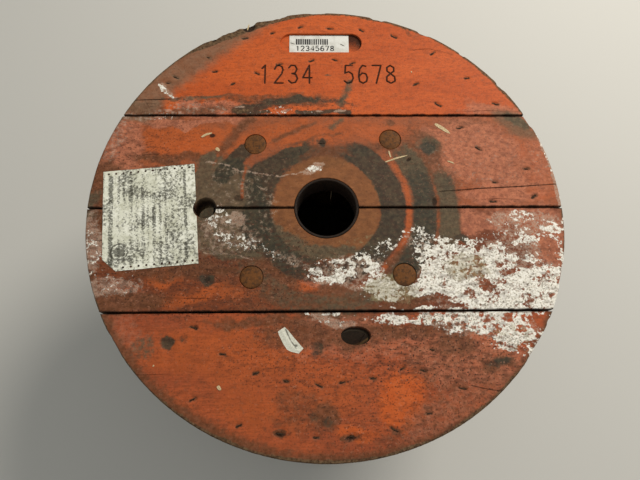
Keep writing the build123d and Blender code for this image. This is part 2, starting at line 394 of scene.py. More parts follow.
def rustedSteel(name, tone, dark, bright):
    # Mild steel gone brown: dull, grainy rust with darker scale and rubbed lighter spots
    material, tree, shader, place = newMaterial(name, Metallic=0.1, Specular_IOR_Level=0.25)
    base = tinted(tree, colour(tone), dark, speckle(tree, place, 8, 0.40, 0.64))
    base = tinted(tree, base, bright, speckle(tree, place, 3, 0.50, 0.68), 0.6)
    grit = speckle(tree, place, 1.5, 0.3, 0.7)
    rough = addNode(tree, "MapRange", {"Value": grit, "To Min": 0.6, "To Max": 0.85})
    bump = addNode(tree, "Bump", {"Height": grit, "Strength": 0.4, "Distance": 0.2 * mm})
    wire(tree, shader, Base_Color=base, Roughness=rough, Normal=bump)
    return material


def twoTone(name, tone, second, size, low, high, **settings):
    # a plain base in two tones, mixed by specks of that size in mm
    material, tree, shader, place = newMaterial(name, **settings)
    mixed = tinted(tree, colour(tone), second, speckle(tree, place, size, low, high))
    wire(tree, shader, Base_Color=mixed)
    return material, tree, shader, place, mixed


headRust = rustedSteel("rustedSteelHead", "#68401B", "#482D14", "#825024")
bushRust = rustedSteel("rustedSteelBush", "#22160D", "#120B05", "#372314")
nailRust = rustedSteel("rustedSteelNail", "#3A2A1B", "#20160E", "#6B5236")
print("materials made")


# What shows on the upper flange, seen from above with +Y away. A patch is centre, half lengths, turn and
# strength; a streak is a path, a width and a strength; a band is two radii, then angles and strengths;
# a rim mark is angles with the radius it starts at, and a strength
flangeMarks = {
    "fresh": {"warp": 12, "soft": 30,
     "patches": [(-250, 124, 82, 32, 0, 1.0), (-158, 122, 34, 34, 0, 0.8), (-45, 132, 100, 26, 4, 0.85),
        (70, 148, 90, 24, 0, 0.7), (215, 70, 30, 45, 30, 0.4), (-150, -238, 130, 42, 0, 0.6),
        (-20, -143, 60, 10, -14, 0.9), (-190, -150, 80, 14, 4, 0.8), (-262, -122, 28, 14, 10, 1.0),
        (-110, -135, 26, 22, -20, 0.4), (-60, -300, 110, 60, 0, 0.5)],
     "bands": [(136, 145, (300, 312, 0, 30, 42), (0, 0.8, 1.0, 0.75, 0)),
        (187, 193, (312, 330, 0, 14, 22), (0, 0.9, 1.1, 0.8, 0))],
     "streaks": [([(-143, 18), (-141, 66)], 9, 1.0)]},
    "bright": {"warp": 10, "soft": 24,
     "patches": [(107, -310, 34, 38, 0, 1.0), (45, -356, 40, 13, 4, 0.7), (-271, 196, 22, 17, 0, 0.9),
        (140, 168, 120, 4, 0, 0.3), (366, 92, 34, 52, 8, 0.4), (368, 22, 30, 14, 0, 0.4),
        (278, 28, 36, 18, 0, 0.45), (-225, 118, 40, 20, 0, 0.5), (90, 130, 20, 30, 0, 0.2)]},
    "dust": {"warp": 14, "soft": 30,
     "patches": [(368, 78, 34, 66, 8, 0.52), (245, 112, 80, 62, 0, 0.88), (295, 66, 50, 76, 0, 0.8),
        (290, 18, 80, 16, 2, 0.85), (262, -26, 50, 18, 0, 1.0), (-350, 112, 40, 66, -8, 0.8),
        (-240, 166, 100, 8, 2, 0.9), (-205, 193, 56, 15, 0, 1.1), (310, 190, 60, 12, 0, 0.9),
        (-330, -150, 60, 20, 0, 0.5), (-180, -62, 44, 18, 0, 0.9), (220, -250, 120, 50, -10, 0.62),
        (60, -222, 150, 30, 0, 0.5), (190, -330, 110, 40, 30, 0.48), (-340, -215, 50, 50, 30, 0.4),
        (10, -193, 50, 12, -8, 1.1), (20, -132, 60, 10, -8, 0.9), (375, -80, 30, 90, 6, 0.7),
        (340, -14, 60, 16, 0, 0.8)]},
    "brown": {"warp": 11, "soft": 24,
     "patches": [(-60, 205, 80, 14, 4, 0.9), (-322, 193, 40, 16, 0, 1.1), (-250, 92, 90, 9, 0, 0.8),
        (-15, 92, 60, 26, 0, 1.1), (50, 108, 70, 12, 0, 0.7), (-375, 20, 32, 70, 0, 1.0),
        (-372, -30, 34, 50, 0, 0.9), (-240, -106, 130, 18, 0, 0.8), (-100, -112, 50, 26, -20, 1.0),
        (-310, -160, 64, 20, 0, 0.95), (10, -156, 70, 20, 0, 0.9), (-70, -150, 40, 22, 0, 0.8),
        (130, -155, 40, 12, 0, 1.0), (130, -206, 120, 14, 0, 0.8), (-10, -212, 110, 26, 0, 0.8),
        (-90, -190, 100, 10, 0, 0.8), (200, -232, 40, 20, 0, 0.8), (265, -256, 26, 10, 0, 0.9),
        (-5, -330, 22, 22, 0, 0.9), (-45, -312, 40, 22, 0, 0.5), (-40, -338, 60, 16, 0, 0.45),
        (183, 108, 30, 32, 0, 1.0), (150, 92, 24, 16, 0, 0.8), (110, 162, 10, 8, 0, 0.9),
        (250, 160, 60, 10, 0, 0.4), (215, -270, 110, 50, -14, 0.45), (150, -340, 90, 30, 24, 0.45),
        (120, -92, 16, 34, -10, 0.9), (225, 45, 16, 30, 20, 0.5), (31, -362, 15, 7, 4, 1.1),
        (-72, -358, 14, 6, -4, 1.1), (96, -353, 9, 6, 0, 0.9), (-20, 240, 14, 4, -10, 0.3),
        (160, 355, 30, 6, -25, 0.5), (-240, 186, 90, 9, 0, 0.8), (-140, 212, 90, 8, 4, 0.7)],
     "rims": [((0, 20, 90, 140, 180, 200, 240, 270, 300, 330, 350), (399, 401, 401, 401, 392, 386, 384, 386,
        390, 392, 398), 0.95)],
     "streaks": [([(-188, 96), (-160, 132), (-134, 168)], 20, 0.9),
        ([(-88, 124), (-52, 142), (-18, 158)], 9, 0.8), ([(-60, 112), (-20, 128), (30, 140)], 7, 0.6),
        ([(40, 365), (15, 378)], 3, 0.5)],
     "bands": [(152, 180, (196, 215, 250, 280, 298, 305), (0, 0.7, 0.9, 0.8, 0.6, 0)),
        (147, 226, (30, 40, 52), (0.8, 0.6, 0))]},
    "ash": {"warp": 8, "soft": 44,
     "rims": [((0, 98, 104, 113, 120, 128, 140, 149, 153, 156, 360), (430, 430, 388, 367, 356, 349, 350, 352,
        350, 430, 430), 1.0)],
     "patches": [(-330, 215, 30, 20, 40, 0.6), (338, 160, 44, 18, -34, 1.2)]},
    "rust": {"warp": 6, "soft": 22,
     "bands": [(50, 94, (0, 180), (1.0, 1.0))]},
    "soil": {"warp": 9, "soft": 20,
     "patches": [(-165, 20, 62, 66, 0, 1.1), (-75, -62, 50, 22, -25, 0.9), (-200, 60, 34, 40, 0, 1.0),
        (-160, -44, 62, 44, 0, 1.15), (-240, 213, 60, 5, 0, 0.6), (345, 164, 24, 10, -36, 0.8),
        (0, -80, 60, 12, 0, 0.9), (-390, 5, 12, 30, 0, 0.9), (-120, -60, 40, 30, 0, 0.8),
        (176, 116, 19, 18, 0, 0.7), (-285, -232, 22, 18, 30, 0.5), (10, 260, 10, 2, 4, 0.5)],
     "bands": [(193, 223, (338, 346, 8, 15, 22), (0, 1.0, 1.1, 0.8, 0)),
        (147, 187, (12, 26, 36, 48), (0.6, 1.0, 0.7, 0))],
     "streaks": [([(48, 243), (40, 218), (28, 196)], 13, 0.75), ([(26, 168), (8, 152)], 12, 0.6)]},
    "rubber": {"warp": 7, "soft": 13,
     "patches": [(-80, 86, 60, 17, 28, 1.2), (-128, 193, 40, 8, 14, 1.0), (-60, 209, 56, 6, 3, 0.9),
        (20, 206, 40, 4, -6, 0.5), (178, 118, 13, 14, 0, 0.9), (-118, -25, 24, 52, 0, 0.9),
        (-6, 122, 7, 8, 0, 0.9), (222, -56, 12, 8, -20, 1.0), (-193, -120, 11, 9, 0, 1.0),
        (-247, -225, 10, 11, 0, 0.9), (-222, -220, 7, 9, 0, 0.4), (-20, -230, 11, 11, 0, 0.6),
        (265, -256, 22, 6, 5, 0.7), (-4, -345, 14, 8, 0, 0.5), (-24, -336, 10, 8, 0, 0.4),
        (205, 42, 12, 14, 0, 0.4)],
     "bands": [(92, 133, (0, 36, 52, 62, 76, 90, 128, 150, 172, 190, 225, 245, 270, 292, 312, 335), (1.2, 1.2,
        1.25, 0.8, 0.3, 0.2, 0.7, 0.85, 0.75, 0.85, 0.95, 0.7, 0.6, 0.8, 1.0, 1.15)),
        (148, 187, (0, 14, 24, 32, 300, 320, 334), (0.8, 0.7, 0.4, 0, 0, 0.7, 0.9))],
     "streaks": [([(-165, 182), (-100, 184)], 8, 0.9), ([(-48, 184), (44, 185)], 8, 1.1),
        ([(-140, 106), (-156, 88), (-178, 60)], 27, 1.15), ([(-156, 88), (-140, 60), (-124, 20)], 18, 0.7)]},
    "bare": {"warp": 7, "soft": 9,
     "patches": [(-150, 188, 22, 3.5, 4, 1.0), (-190, 345, 52, 9, 32, 1.0)],
     "rims": [((0, 22, 38, 60, 76, 90, 96, 104, 116, 124, 130, 160, 200, 260, 300, 330, 360), (398, 397, 393,
        395, 393, 394, 391, 386, 380, 385, 395, 398, 398, 394, 395, 397, 398), 1.0)]},
    "pale": {"warp": 6, "soft": 16,
     "patches": [(-70, 184, 10, 3, 0, 1.2), (-8, 181, 8, 2.5, 0, 1.2), (26, 185, 12, 3, 0, 1.2),
        (-152, 189, 10, 2, 4, 1.0), (-22, 70, 24, 9, 24, 1.0), (-160, -56, 60, 26, 0, 0.6),
        (-150, -22, 16, 18, 0, 0.9), (-178, -30, 32, 24, 0, 0.7), (10, -192, 44, 9, -14, 1.0),
        (15, -130, 60, 8, -8, 0.8), (-384, -60, 18, 60, 4, 0.95), (-345, -135, 56, 18, 6, 0.9),
        (370, 92, 24, 44, 8, 0.42), (-366, 130, 24, 50, -14, 0.6), (-300, 176, 90, 10, 2, 0.7),
        (-230, 192, 70, 12, 0, 0.6), (268, -128, 140, 58, 0, 0.6), (330, -30, 70, 26, 0, 0.76),
        (300, -78, 60, 30, 0, 0.74), (240, -196, 110, 26, -6, 0.65), (40, -108, 60, 24, 6, 0.7),
        (265, 90, 90, 60, 0, 0.36), (-150, 40, 60, 40, 0, 0.42), (150, -62, 40, 16, 0, 0.6),
        (-60, -92, 50, 10, -20, 0.6), (-100, -10, 20, 50, 0, 0.45)],
     "streaks": [([(-209, 84), (-170, 78), (-122, 64), (-80, 58), (-42, 65), (-28, 76)], 5, 0.85),
        ([(-130, 50), (-95, 30)], 3, 0.7), ([(397, 0), (396, 40), (388, 90), (372, 142)], 6, 1.35),
        ([(-296, 238), (-270, 212)], 12, 0.9), ([(-200, -78), (-150, -82), (-120, -90)], 4, 0.8)]},
    "plaster": {"warp": 9, "soft": 46,
     "patches": [(285, -140, 120, 52, 0, 1.12), (225, -108, 116, 60, 0, 0.98), (325, -88, 90, 50, -6, 0.84),
        (162, -112, 44, 40, 0, 1.0), (150, -140, 26, 18, 0, 1.3), (100, -138, 50, 32, 0, 0.9),
        (32, -108, 70, 28, 4, 0.92), (378, -36, 34, 12, -14, 0.9), (385, -120, 20, 60, 14, 1.05),
        (140, -190, 84, 14, -3, 0.9), (258, -196, 104, 34, -5, 0.88), (300, -218, 60, 30, -6, 0.98),
        (18, -190, 44, 10, -10, 0.68), (-176, -22, 32, 24, -30, 0.76), (-150, -58, 50, 18, -12, 0.66),
        (-384, -80, 22, 56, 6, 0.66), (-372, -122, 28, 30, 0, 0.56), (-330, -130, 40, 20, 10, 0.52),
        (-20, 71, 26, 9, 24, 0.78), (310, -22, 46, 16, 0, 0.68), (340, -60, 60, 20, 0, 0.74),
        (100, -64, 34, 16, 30, 0.72), (150, -52, 40, 20, 0, 0.68), (-84, -84, 50, 12, -26, 0.56),
        (-10, -106, 36, 18, -6, 0.9), (215, -66, 60, 22, 0, 0.84), (-100, 50, 60, 14, -16, 0.4),
        (-80, 184, 90, 5, 0, 0.6), (-300, 178, 80, 8, 0, 0.55), (255, -235, 34, 12, -10, 0.8)],
     "streaks": [([(-297, 240), (-287, 222)], 5, 1.1), ([(-292, 236), (-277, 216)], 4, 1.1),
        ([(-290, 224), (-270, 212)], 4, 1.1), ([(52, -152), (66, -160), (72, -172)], 5, 0.95),
        ([(76, -168), (178, -174)], 8, 0.95), ([(-40, -181), (30, -182)], 5, 0.95),
        ([(396, -20), (388, -95), (368, -155)], 6, 0.8), ([(398, 4), (396, 40), (389, 88), (374, 140)], 4, 0.8),
        ([(250, -228), (300, -245), (326, -235), (348, -206)], 7, 1.0)]},
    "bald": {"warp": 6, "soft": 10,  # where the plaster has come off again
     "patches": [(365, -78, 20, 24, 0, 0.5), (122, -84, 9, 30, -25, 0.9), (335, -78, 40, 12, 0, 0.2),
        (122, -110, 26, 22, 0, 1.0), (122, -150, 16, 12, 0, 0.25), (150, -160, 44, 6, 8, 0.6),
        (205, -88, 14, 8, 20, 0.25), (238, -150, 20, 8, -30, 0.2), (330, -196, 14, 12, 0, 0.3),
        (300, -118, 30, 6, 30, 0.15), (236, -224, 24, 9, -20, 0.4), (248, -120, 12, 20, -30, 0.15)]},
    "scraped": {"warp": 5, "soft": 6,  # where the grime is scraped off again
     "streaks": [([(-143, 20), (-141, 44), (-137, 74)], 8, 0.62), ([(-193, 66), (-187, 96)], 8, 0.45),
        ([(-105, 100), (-70, 112), (-40, 118)], 5, 0.5)]},
    "silt": {"warp": 7, "soft": 16,
     "patches": [(104, -140, 46, 26, 0, 0.95), (228, -104, 40, 28, 0, 0.9), (288, -216, 36, 24, 0, 0.6),
        (150, -190, 60, 12, 0, 0.5), (330, -120, 30, 20, 0, 0.4), (60, -60, 40, 12, 0, 0.6)]},
    # black in the dents and splits, partly painted shade in them
    "sootAndShade": {"warp": 2, "soft": 3,
     "patches": [(-193, -121, 6, 5, 0, 0.6), (-312, -144, 4, 9, 0, 0.5), (-149, 17, 9, 6, -20, 0.6),
        (183, 10, 5, 8, 0, 0.7), (145, 88, 6, 3, 40, 0.8), (-198, 136, 5, 4, 0, 0.9), (-55, -244, 4, 3, 0, 0.5),
        (-205, -198, 5, 3, -30, 0.6), (-142, 366, 12, 8, 20, 1.1), (31, -364, 10, 3, 6, 0.8),
        (-73, -359, 9, 3, -4, 0.8), (-60, -358, 4, 3, 0, 0.5), (45, -362, 4, 4, 0, 0.5)],
     "streaks": [([(160, 315), (180, 317), (198, 318), (240, 305)], 2, 0.6),
        ([(90, 328), (104, 312), (116, 300), (122, 284)], 1.5, 0.4),
        ([(12, 378), (28, 370), (46, 361)], 1.5, 0.4), ([(-350, 207), (-262, 210)], 2, 0.8),
        ([(-320, 205), (-311, 190)], 2, 0.6), ([(215, -290), (240, -296), (268, -302)], 1.6, 0.6),
        ([(235, 155), (252, 150)], 3, 0.5), ([(275, 48), (290, 50)], 2, 0.5),
        ([(192, 28.5), (250, 33), (320, 37), (398, 42)], 2.2, 0.75), ([(-30, -330), (-18, -334)], 2.5, 0.5),
        ([(60, 45), (66, 38)], 2, 0.4)]},
    "speck": {"warp": 10, "soft": 60,
     "patches": [(0, 0, 900, 900, 0, 0.38), (165, -240, 180, 70, 0, 1.1), (240, 80, 190, 110, 0, 0.5),
        (-10, -240, 170, 70, 0, 0.85), (-200, -100, 240, 90, 0, 0.95), (-320, 150, 120, 60, 0, 0.7),
        (-330, 0, 110, 170, 0, 0.9), (110, -320, 220, 80, 0, 0.75), (250, -120, 180, 80, 0, 0.8),
        (-120, 195, 200, 24, 0, 0.8)]},
}


def maskOf(x, y, marks, seed):
    # strongest mark at each place; the places are first shifted by noise, so that edges run ragged
    warp, soft = marks["warp"], marks["soft"]
    shiftX = warp * (3.2 * fractal(x, y, 34, seed) - 1.6)
    shiftY = warp * (3.2 * fractal(x, y, 34, seed + 40) - 1.6)
    px, py = x + shiftX, y + shiftY
    found = [np.zeros(len(x))]
    for cx, cy, halfX, halfY, turn, strength in marks.get("patches", []):
        c, s = np.cos(np.radians(turn)), np.sin(np.radians(turn))
        u, v = (px - cx) * c + (py - cy) * s, (py - cy) * c - (px - cx) * s
        inside = (1 - np.hypot(u / halfX, v / halfY)) * min(halfX, halfY)
        found.append(strength * ease(inside / min(soft, halfX, halfY) + 0.5))
    for points, width, strength in marks.get("streaks", []):
        inside = width / 2 - pathDistance(x + shiftX / 2, y + shiftY / 2, points)
        found.append(strength * ease(inside / min(soft, width) + 0.5))
    # bands and rims keep nearly round: they come from other drums and from rolling
    reach, angle = np.hypot(x + shiftX / 4, y + shiftY / 4), np.degrees(np.arctan2(y, x)) % 360
    rubbed = 0.5 + 0.6 * noise(reach, 3 * angle, (5, 34), seed + 60) + 0.5 * fractal(x, y, 38, seed + 61)
    for start, end, angles, strengths in marks.get("bands", []):
        inside = np.minimum(reach - start, end - reach)
        band = np.interp(angle, angles, strengths, period=360) * ease(inside / min(soft, end - start) + 0.5)
        found.append(band * rubbed)
    for angles, starts, strength in marks.get("rims", []):
        inside = reach - np.interp(angle, angles, starts)
        found.append(strength * ease(inside / soft + 0.5))
    return np.max(found, axis=0)


# Clinched nail tips: two uneven rings of them hold the crossed layers together
nails = {
    "places": [
        (-45, 366), (-97, 352), (-149, 340), (-214, 298), (-271, 255), (-284, 243), (11, 363), (70, 359),
        (131, 345), (202, 308), (261, 254), (308, 200), (348, 71), (354, 19), (-204, -307), (-134, -345),
        (-73, -357), (-20, -363), (31, -362), (96, -353), (149, -331), (203, -295), (-167, 241),
        (-124, 264), (-83, 283), (-24, 291), (19, 293), (51, 286), (166, 241), (204, 198), (239, 151),
        (268, 110), (290, 46), (283, 10), (-210, -200), (-163, -241), (-111, -270), (-65, -282),
        (-15, -289), (20, -285), (67, -279), (113, -265), (145, -268), (161, -237), (-204, 336),
        (-7, 121), (-201, 267)],
    "length": (6.0, 11.0), "line": 1.7, "wire": 2.4, "gouge": 3.3, "depth": 1.3, "turn": 0.6, "seed": 5,
    "reach": 14, "headRadius": 3.4, "clearOfBarrel": 215, "clearOfBolt": 30,
}
nailDraw = np.random.default_rng(nails["seed"])
nailTurns = nailDraw.uniform(-nails["turn"], nails["turn"], len(nails["places"]))
nailRuns = nailDraw.uniform(*nails["length"], len(nails["places"])) / 2

# Stamped figures: plain generic ones, one stroke list each, in a box one wide and one high
figures = {
    "1": [[(0.25, 0.82), (0.55, 1), (0.55, 0)]],
    "2": [[(0.08, 0.78), (0.22, 0.95), (0.5, 1), (0.8, 0.93), (0.92, 0.74), (0.8, 0.52), (0.08, 0), (0.95, 0)]],
    "3": [[(0.08, 0.86), (0.3, 1), (0.7, 0.98), (0.9, 0.78), (0.72, 0.56), (0.4, 0.53)],
          [(0.4, 0.53), (0.78, 0.48), (0.95, 0.25), (0.75, 0.04), (0.35, 0), (0.06, 0.14)]],
    "4": [[(0.72, 0), (0.72, 1), (0.05, 0.3), (0.97, 0.3)]],
    "5": [[(0.88, 1), (0.2, 1), (0.12, 0.56), (0.5, 0.64), (0.85, 0.52), (0.95, 0.28), (0.75, 0.05),
           (0.35, 0), (0.06, 0.12)]],
    "6": [[(0.82, 0.95), (0.5, 1), (0.2, 0.8), (0.06, 0.4), (0.15, 0.1), (0.5, 0), (0.85, 0.1), (0.94, 0.32),
           (0.8, 0.52), (0.45, 0.57), (0.1, 0.38)]],
    "7": [[(0.06, 1), (0.94, 1), (0.4, 0)]],
    "8": [[(0.5, 0.54), (0.15, 0.68), (0.15, 0.88), (0.5, 1), (0.85, 0.88), (0.85, 0.68), (0.5, 0.54),
           (0.1, 0.36), (0.08, 0.12), (0.5, 0), (0.92, 0.12), (0.9, 0.36), (0.5, 0.54)]],
}
stamp = {"left": (-119, -93, -67, -41), "right": (35, 61, 87, 112), "base": 243, "width": 18, "height": 38,
         "line": 2.8, "depth": 1.4, "reach": 145, "span": (-124, 134)}


def figurePaths(text, lefts, base, width, height):
    # each figure's strokes, moved and stretched into its own box
    return [[(left + width * u, base + height * v) for u, v in stroke]
            for figure, left in zip(text, lefts) for stroke in figures[figure]]


stampPaths = figurePaths(plainNumber, stamp["left"] + stamp["right"], stamp["base"], stamp["width"],
                         stamp["height"])


def stampDistance(x, y):
    # the places round the stamped figures, and how far each of them is from the nearest stroke
    near = (abs(x) < stamp["reach"]) & (y > stamp["base"] - 4) & (y < stamp["base"] + stamp["height"] + 4)
    return near, np.min([pathDistance(x[near], y[near], path) for path in stampPaths], axis=0)


# The paper label on the left: "lines" are centre, half width and strength of its rows of blots
label = {"width": 154.0, "height": 178.0, "centre": (-294.0, -15.0), "turn": 5.6, "corner": 22.0,
         "thickness": 0.25, "lift": 0.45, "step": 1.6, "seat": 0.8, "cutLine": -130,
         "holeRadius": 1.9, "holes": 12, "holeRow": 68, "holeInset": 5.5,
         "lines": [(-64, 5, 0.62), (-51, 3, 0.5), (-42, 3, 0.52), (-31, 5, 0.6), (-21, 3, 0.5), (-11, 4, 0.6),
                   (-3, 2.5, 0.5), (7, 4, 0.62), (17, 3, 0.55), (27, 3, 0.5), (37, 3, 0.46), (47, 3, 0.4),
                   (59, 3.5, 0.6)]}
labelTurn = np.radians(label["turn"])


def labelPlace(x, y):
    # flange place to the label's own across and up
    dx, dy = x - label["centre"][0], y - label["centre"][1]
    return (dx * np.cos(labelTurn) + dy * np.sin(labelTurn), dy * np.cos(labelTurn) - dx * np.sin(labelTurn))


def underLabel(u, v, soft, spread):
    # 1 under the label, easing to 0 over its edges
    return (ease((label["width"] / 2 - abs(u)) / soft + spread)
            * ease((label["height"] / 2 - abs(v)) / soft + spread))


def upperMasks(x, y):
    # the table's marks, less what has come off, then the nail holes, stamped lines and shade under the label
    masks = {name: maskOf(x, y, marks, 11 + 3 * k) for k, (name, marks) in enumerate(flangeMarks.items())}
    masks["plaster"] = np.clip(masks["plaster"] - masks.pop("bald"), 0, 1.15)
    scraped = masks.pop("scraped")
    for name in ("brown", "soil", "rubber"):
        masks[name] = masks[name] * (1 - scraped)
    # lifted flakes in two sizes, mostly where the crust is thinner
    lifted = ease((fractal(x, y, (19, 13), 87, 3) - 0.55) * 9) + 0.8 * ease((noise(x, y, (8, 6), 88) - 0.66) * 6)
    masks["plaster"] = np.clip(masks["plaster"] - 0.38 * lifted, 0, 1.15)
    # round each nail tip: brown stain, and black that is partly painted shade in its gouge
    for (cx, cy), turn, run in zip(nails["places"], nailTurns, nailRuns):
        close = np.hypot(x - cx, y - cy) < nails["reach"]
        ends = [(cx - run * np.cos(turn), cy - run * np.sin(turn)),
                (cx + run * np.cos(turn), cy + run * np.sin(turn))]
        away = pathDistance(x[close], y[close], ends) + 2.4 * (noise(x[close], y[close], 2.6, 77) - 0.35)
        deepen(masks, "sootAndShade", 0.95 * ease(1.4 - away / nails["line"]), close)
        deepen(masks, "brown", 0.8 * ease(1.5 - away / nails["gouge"]), close)
    near, away = stampDistance(x, y)
    deepen(masks, "sootAndShade", 0.95 * ease(1.5 - away / stamp["line"] * 1.6), near)
    u, v = labelPlace(x, y)
    deepen(masks, "sootAndShade", underLabel(u, v, 4, 0) * (u + v > label["cutLine"]))
    return masks


def upperRelief(x, y, masks):
    # depth below the nominal top face: warp of the boards, fine grain, gouges, stamped lines, plaster crust
    height = -0.6 + 0.35 * (fractal(x, y, (220, 60), 3) - 0.5) + 0.16 * (noise(x, y, (34, 2.4), 8) - 0.5)
    crust = ease((masks["plaster"] - 0.55) * 3) * fractal(x, y, 7, 25, 2)
    height += 0.6 * crust - 0.5 * masks["bare"] * fractal(x, y, (30, 5), 29)
    dents = [(-247, -225, 10, 1.6), (-193, -120, 11, 1.4), (-20, -230, 12, 1.2), (-312, -144, 8, 0.9),
             (145, 87, 6, 1.0), (178, 118, 14, 0.8), (-149, 17, 11, 1.6), (183, 10, 8, 1.2),
             (-222, -220, 8, 0.6), (-142, 368, 13, 6.0), (31, -362, 10, 1.2), (-72, -358, 10, 1.2)]
    for cx, cy, size, depth in dents:
        height -= depth * ease(1.4 - np.hypot(x - cx, y - cy) / size)
    for (cx, cy), turn, run in zip(nails["places"], nailTurns, nailRuns):
        u = (x - cx) * np.cos(turn) + (y - cy) * np.sin(turn)
        v = (y - cy) * np.cos(turn) - (x - cx) * np.sin(turn)
        height -= nails["depth"] * ease(1.5 - np.hypot(u / (run + 2), v / nails["gouge"]))
    near, away = stampDistance(x, y)
    height[near] -= stamp["depth"] * ease(1.2 - away / (stamp["line"] / 2))
    under = underLabel(*labelPlace(x, y), 6, 1)
    return height * (1 - under) - label["seat"] * under


# Chips along the rim of the upper outer layer: angle, half width in degrees, depth
rimChips = [(118, 7, 4), (104, 5, 4), (111, 3, 3), (75, 2.5, 3.5), (62, 2.2, 3), (36.5, 2, 2.5),
            (24.5, 3, 3), (343, 4, 1.6), (324, 5, 1.6), (214, 4, 1.2), (331, 1, 1.5), (50, 1.2, 2), (92, 3, 2)]
# Round holes are (x, y, radius); the head and the nut of a bolt each sink into a wider one
holes = {
    "bush": (0.0, 0.0, 54.6), "drive": (-203.5, 0.0, 18.5),
    "bolts": [tuple(centreOf(f"tie_bolt_{n}")[:2]) for n in (1, 2, 3, 4)],
    "head": 19.4, "headDepth": 4.2, "shank": 6.6, "washer": 23.0, "washerDepth": 17.0,
    "cable": {"centre": (43.1, -214.0), "length": 47.0, "width": 29.0, "oval": 0.8},
    "pocket": {"centre": (-6.0, 330.5), "length": 152.0, "width": 41.0, "oval": 0.0, "depth": 5.0,
               # from here, in mm right of its centre, a painted shadow blackens the pocket's floor
               "shadowFrom": 52},
}


def drilling(hole, bottom, top, sides=48, flare=0.0, flareZ=None):
    # a slightly uneven round hole; the flare rounds the edge where it meets the shown face
    x, y, size = hole
    angle = circleAngles(sides)
    outline = size + 0.5 * (noise(size * angle + x, 0 * angle, 9, 31) - 0.5) * (size > 8)
    outline[-1] = outline[0]
    levels = [(bottom, 0), (top, 0)]
    if flareZ is not None:
        lift = np.sign(top - bottom)
        levels = [(bottom, 0), (flareZ - lift * flare, 0), (flareZ + lift * 1.0, flare + 1.0)]
    return gridShape(rings((x, y), outline, levels))


def slotShape(slot, levels, sides=96):
    # round-ended slot: two half circles held apart, at levels of (z, growth), each a little uneven;
    # oval is the share by which it nears an ellipse of the same length and width
    angle = circleAngles(sides)
    half, oval = (slot["length"] - slot["width"]) / 2, slot["oval"]
    uneven = 0.5 * (noise(angle * 20, 0 * angle, 8, 33) - 0.5) * np.sin(angle / 2)
    points = np.zeros((len(levels), sides, 3))
    for row, (z, growth) in enumerate(levels):
        reach = slot["width"] / 2 + growth + uneven
        apart = (1 - oval) * np.where(np.cos(angle) > 0, 1, -1) + oval * np.cos(angle)
        points[row, :, 0] = slot["centre"][0] + reach * np.cos(angle) + half * apart
        points[row, :, 1] = slot["centre"][1] + reach * np.sin(angle)
        points[row, :, 2] = z
    return gridShape(points)


def slotReach(x, y, slot):
    # how far each place lies outside a round-ended slot
    beyond = np.maximum(abs(x - slot["centre"][0]) - (slot["length"] - slot["width"]) / 2, 0)
    return np.hypot(beyond, y - slot["centre"][1]) - slot["width"] / 2


def rimShape(shownZ, hiddenZ, chips, seed, sides):
    # the saw cut round the flange: a ragged circle with chips out of it, chamfered at the shown face
    lift = np.sign(shownZ - hiddenZ)
    angle = circleAngles(sides)
    around = radius * angle
    degrees = np.degrees(angle)
    cut = 0.2 + 0.9 * fractal(around, 0 * around, 90, seed) + 0.35 * noise(around, 0 * around, 5, seed + 9)
    for place, half, depth in chips:
        away = abs((degrees - place + 180) % 360 - 180)
        rough = 0.6 + 0.8 * noise(around, 0 * around, 6, seed + 20)
        cut = cut + depth * rough * ease(1.5 * (1 - away / half))
    outline = radius - cut
    lengths = [(hiddenZ - lift, 0), (hiddenZ + lift * 8, 0), (hiddenZ + lift * 16, 0), (shownZ - lift * 1.6, 0),
               (shownZ + lift * 1.4, -3.0)]
    points = rings((0, 0), outline, lengths)
    for row, z in enumerate([0, 8, 16]):  # small unevenness of the sawn edge from level to level
        shift = 0.5 * (noise(around, 0 * around + 10 * z, (14, 5), seed + 31) - 0.8)
        points[row, :, 0] += shift * np.cos(angle)
        points[row, :, 1] += shift * np.sin(angle)
    return gridShape(points)


# Splits that run into the wood: path, width and depth
splits = {
    "upper_outer_board_3": [
        ([(197, 29), (222, 30), (250, 33), (285, 35.5), (320, 37), (356, 40), (401, 42)], 1.5, 9),
        ([(262, 14), (290, 15.5), (330, 13.5)], 0.8, 3), ([(-355, 97), (-300, 99), (-262, 98)], 0.8, 3)],
    "upper_outer_board_4": [
        ([(-352, 206.5), (-320, 207.5), (-290, 208.5), (-258, 210)], 1.3, 7),
        ([(232, 183), (290, 186), (352, 184)], 1.0, 4), ([(160, 315), (184, 317.5), (205, 317)], 0.9, 3)],
    "upper_outer_board_2": [([(-402, -55), (-372, -57), (-350, -56)], 1.0, 5),
                            ([(-262, -152), (-210, -154), (-170, -153)], 0.8, 3)],
    "upper_outer_board_1": [([(212, -290), (240, -296), (290, -303)], 1.0, 5),
                            ([(-320, -268), (-285, -271), (-240, -270)], 0.8, 3)],
}
# How finely a board is cut up: the stained face in the photo, and all others
fineGrid, plainGrid = {"step": 1.7, "rimSides": 1256}, {"step": 4.5, "rimSides": 560}
groove = {"outside": 200.5, "inside": 178.5, "depth": 8, "sides": 144}  # the staves stand in it


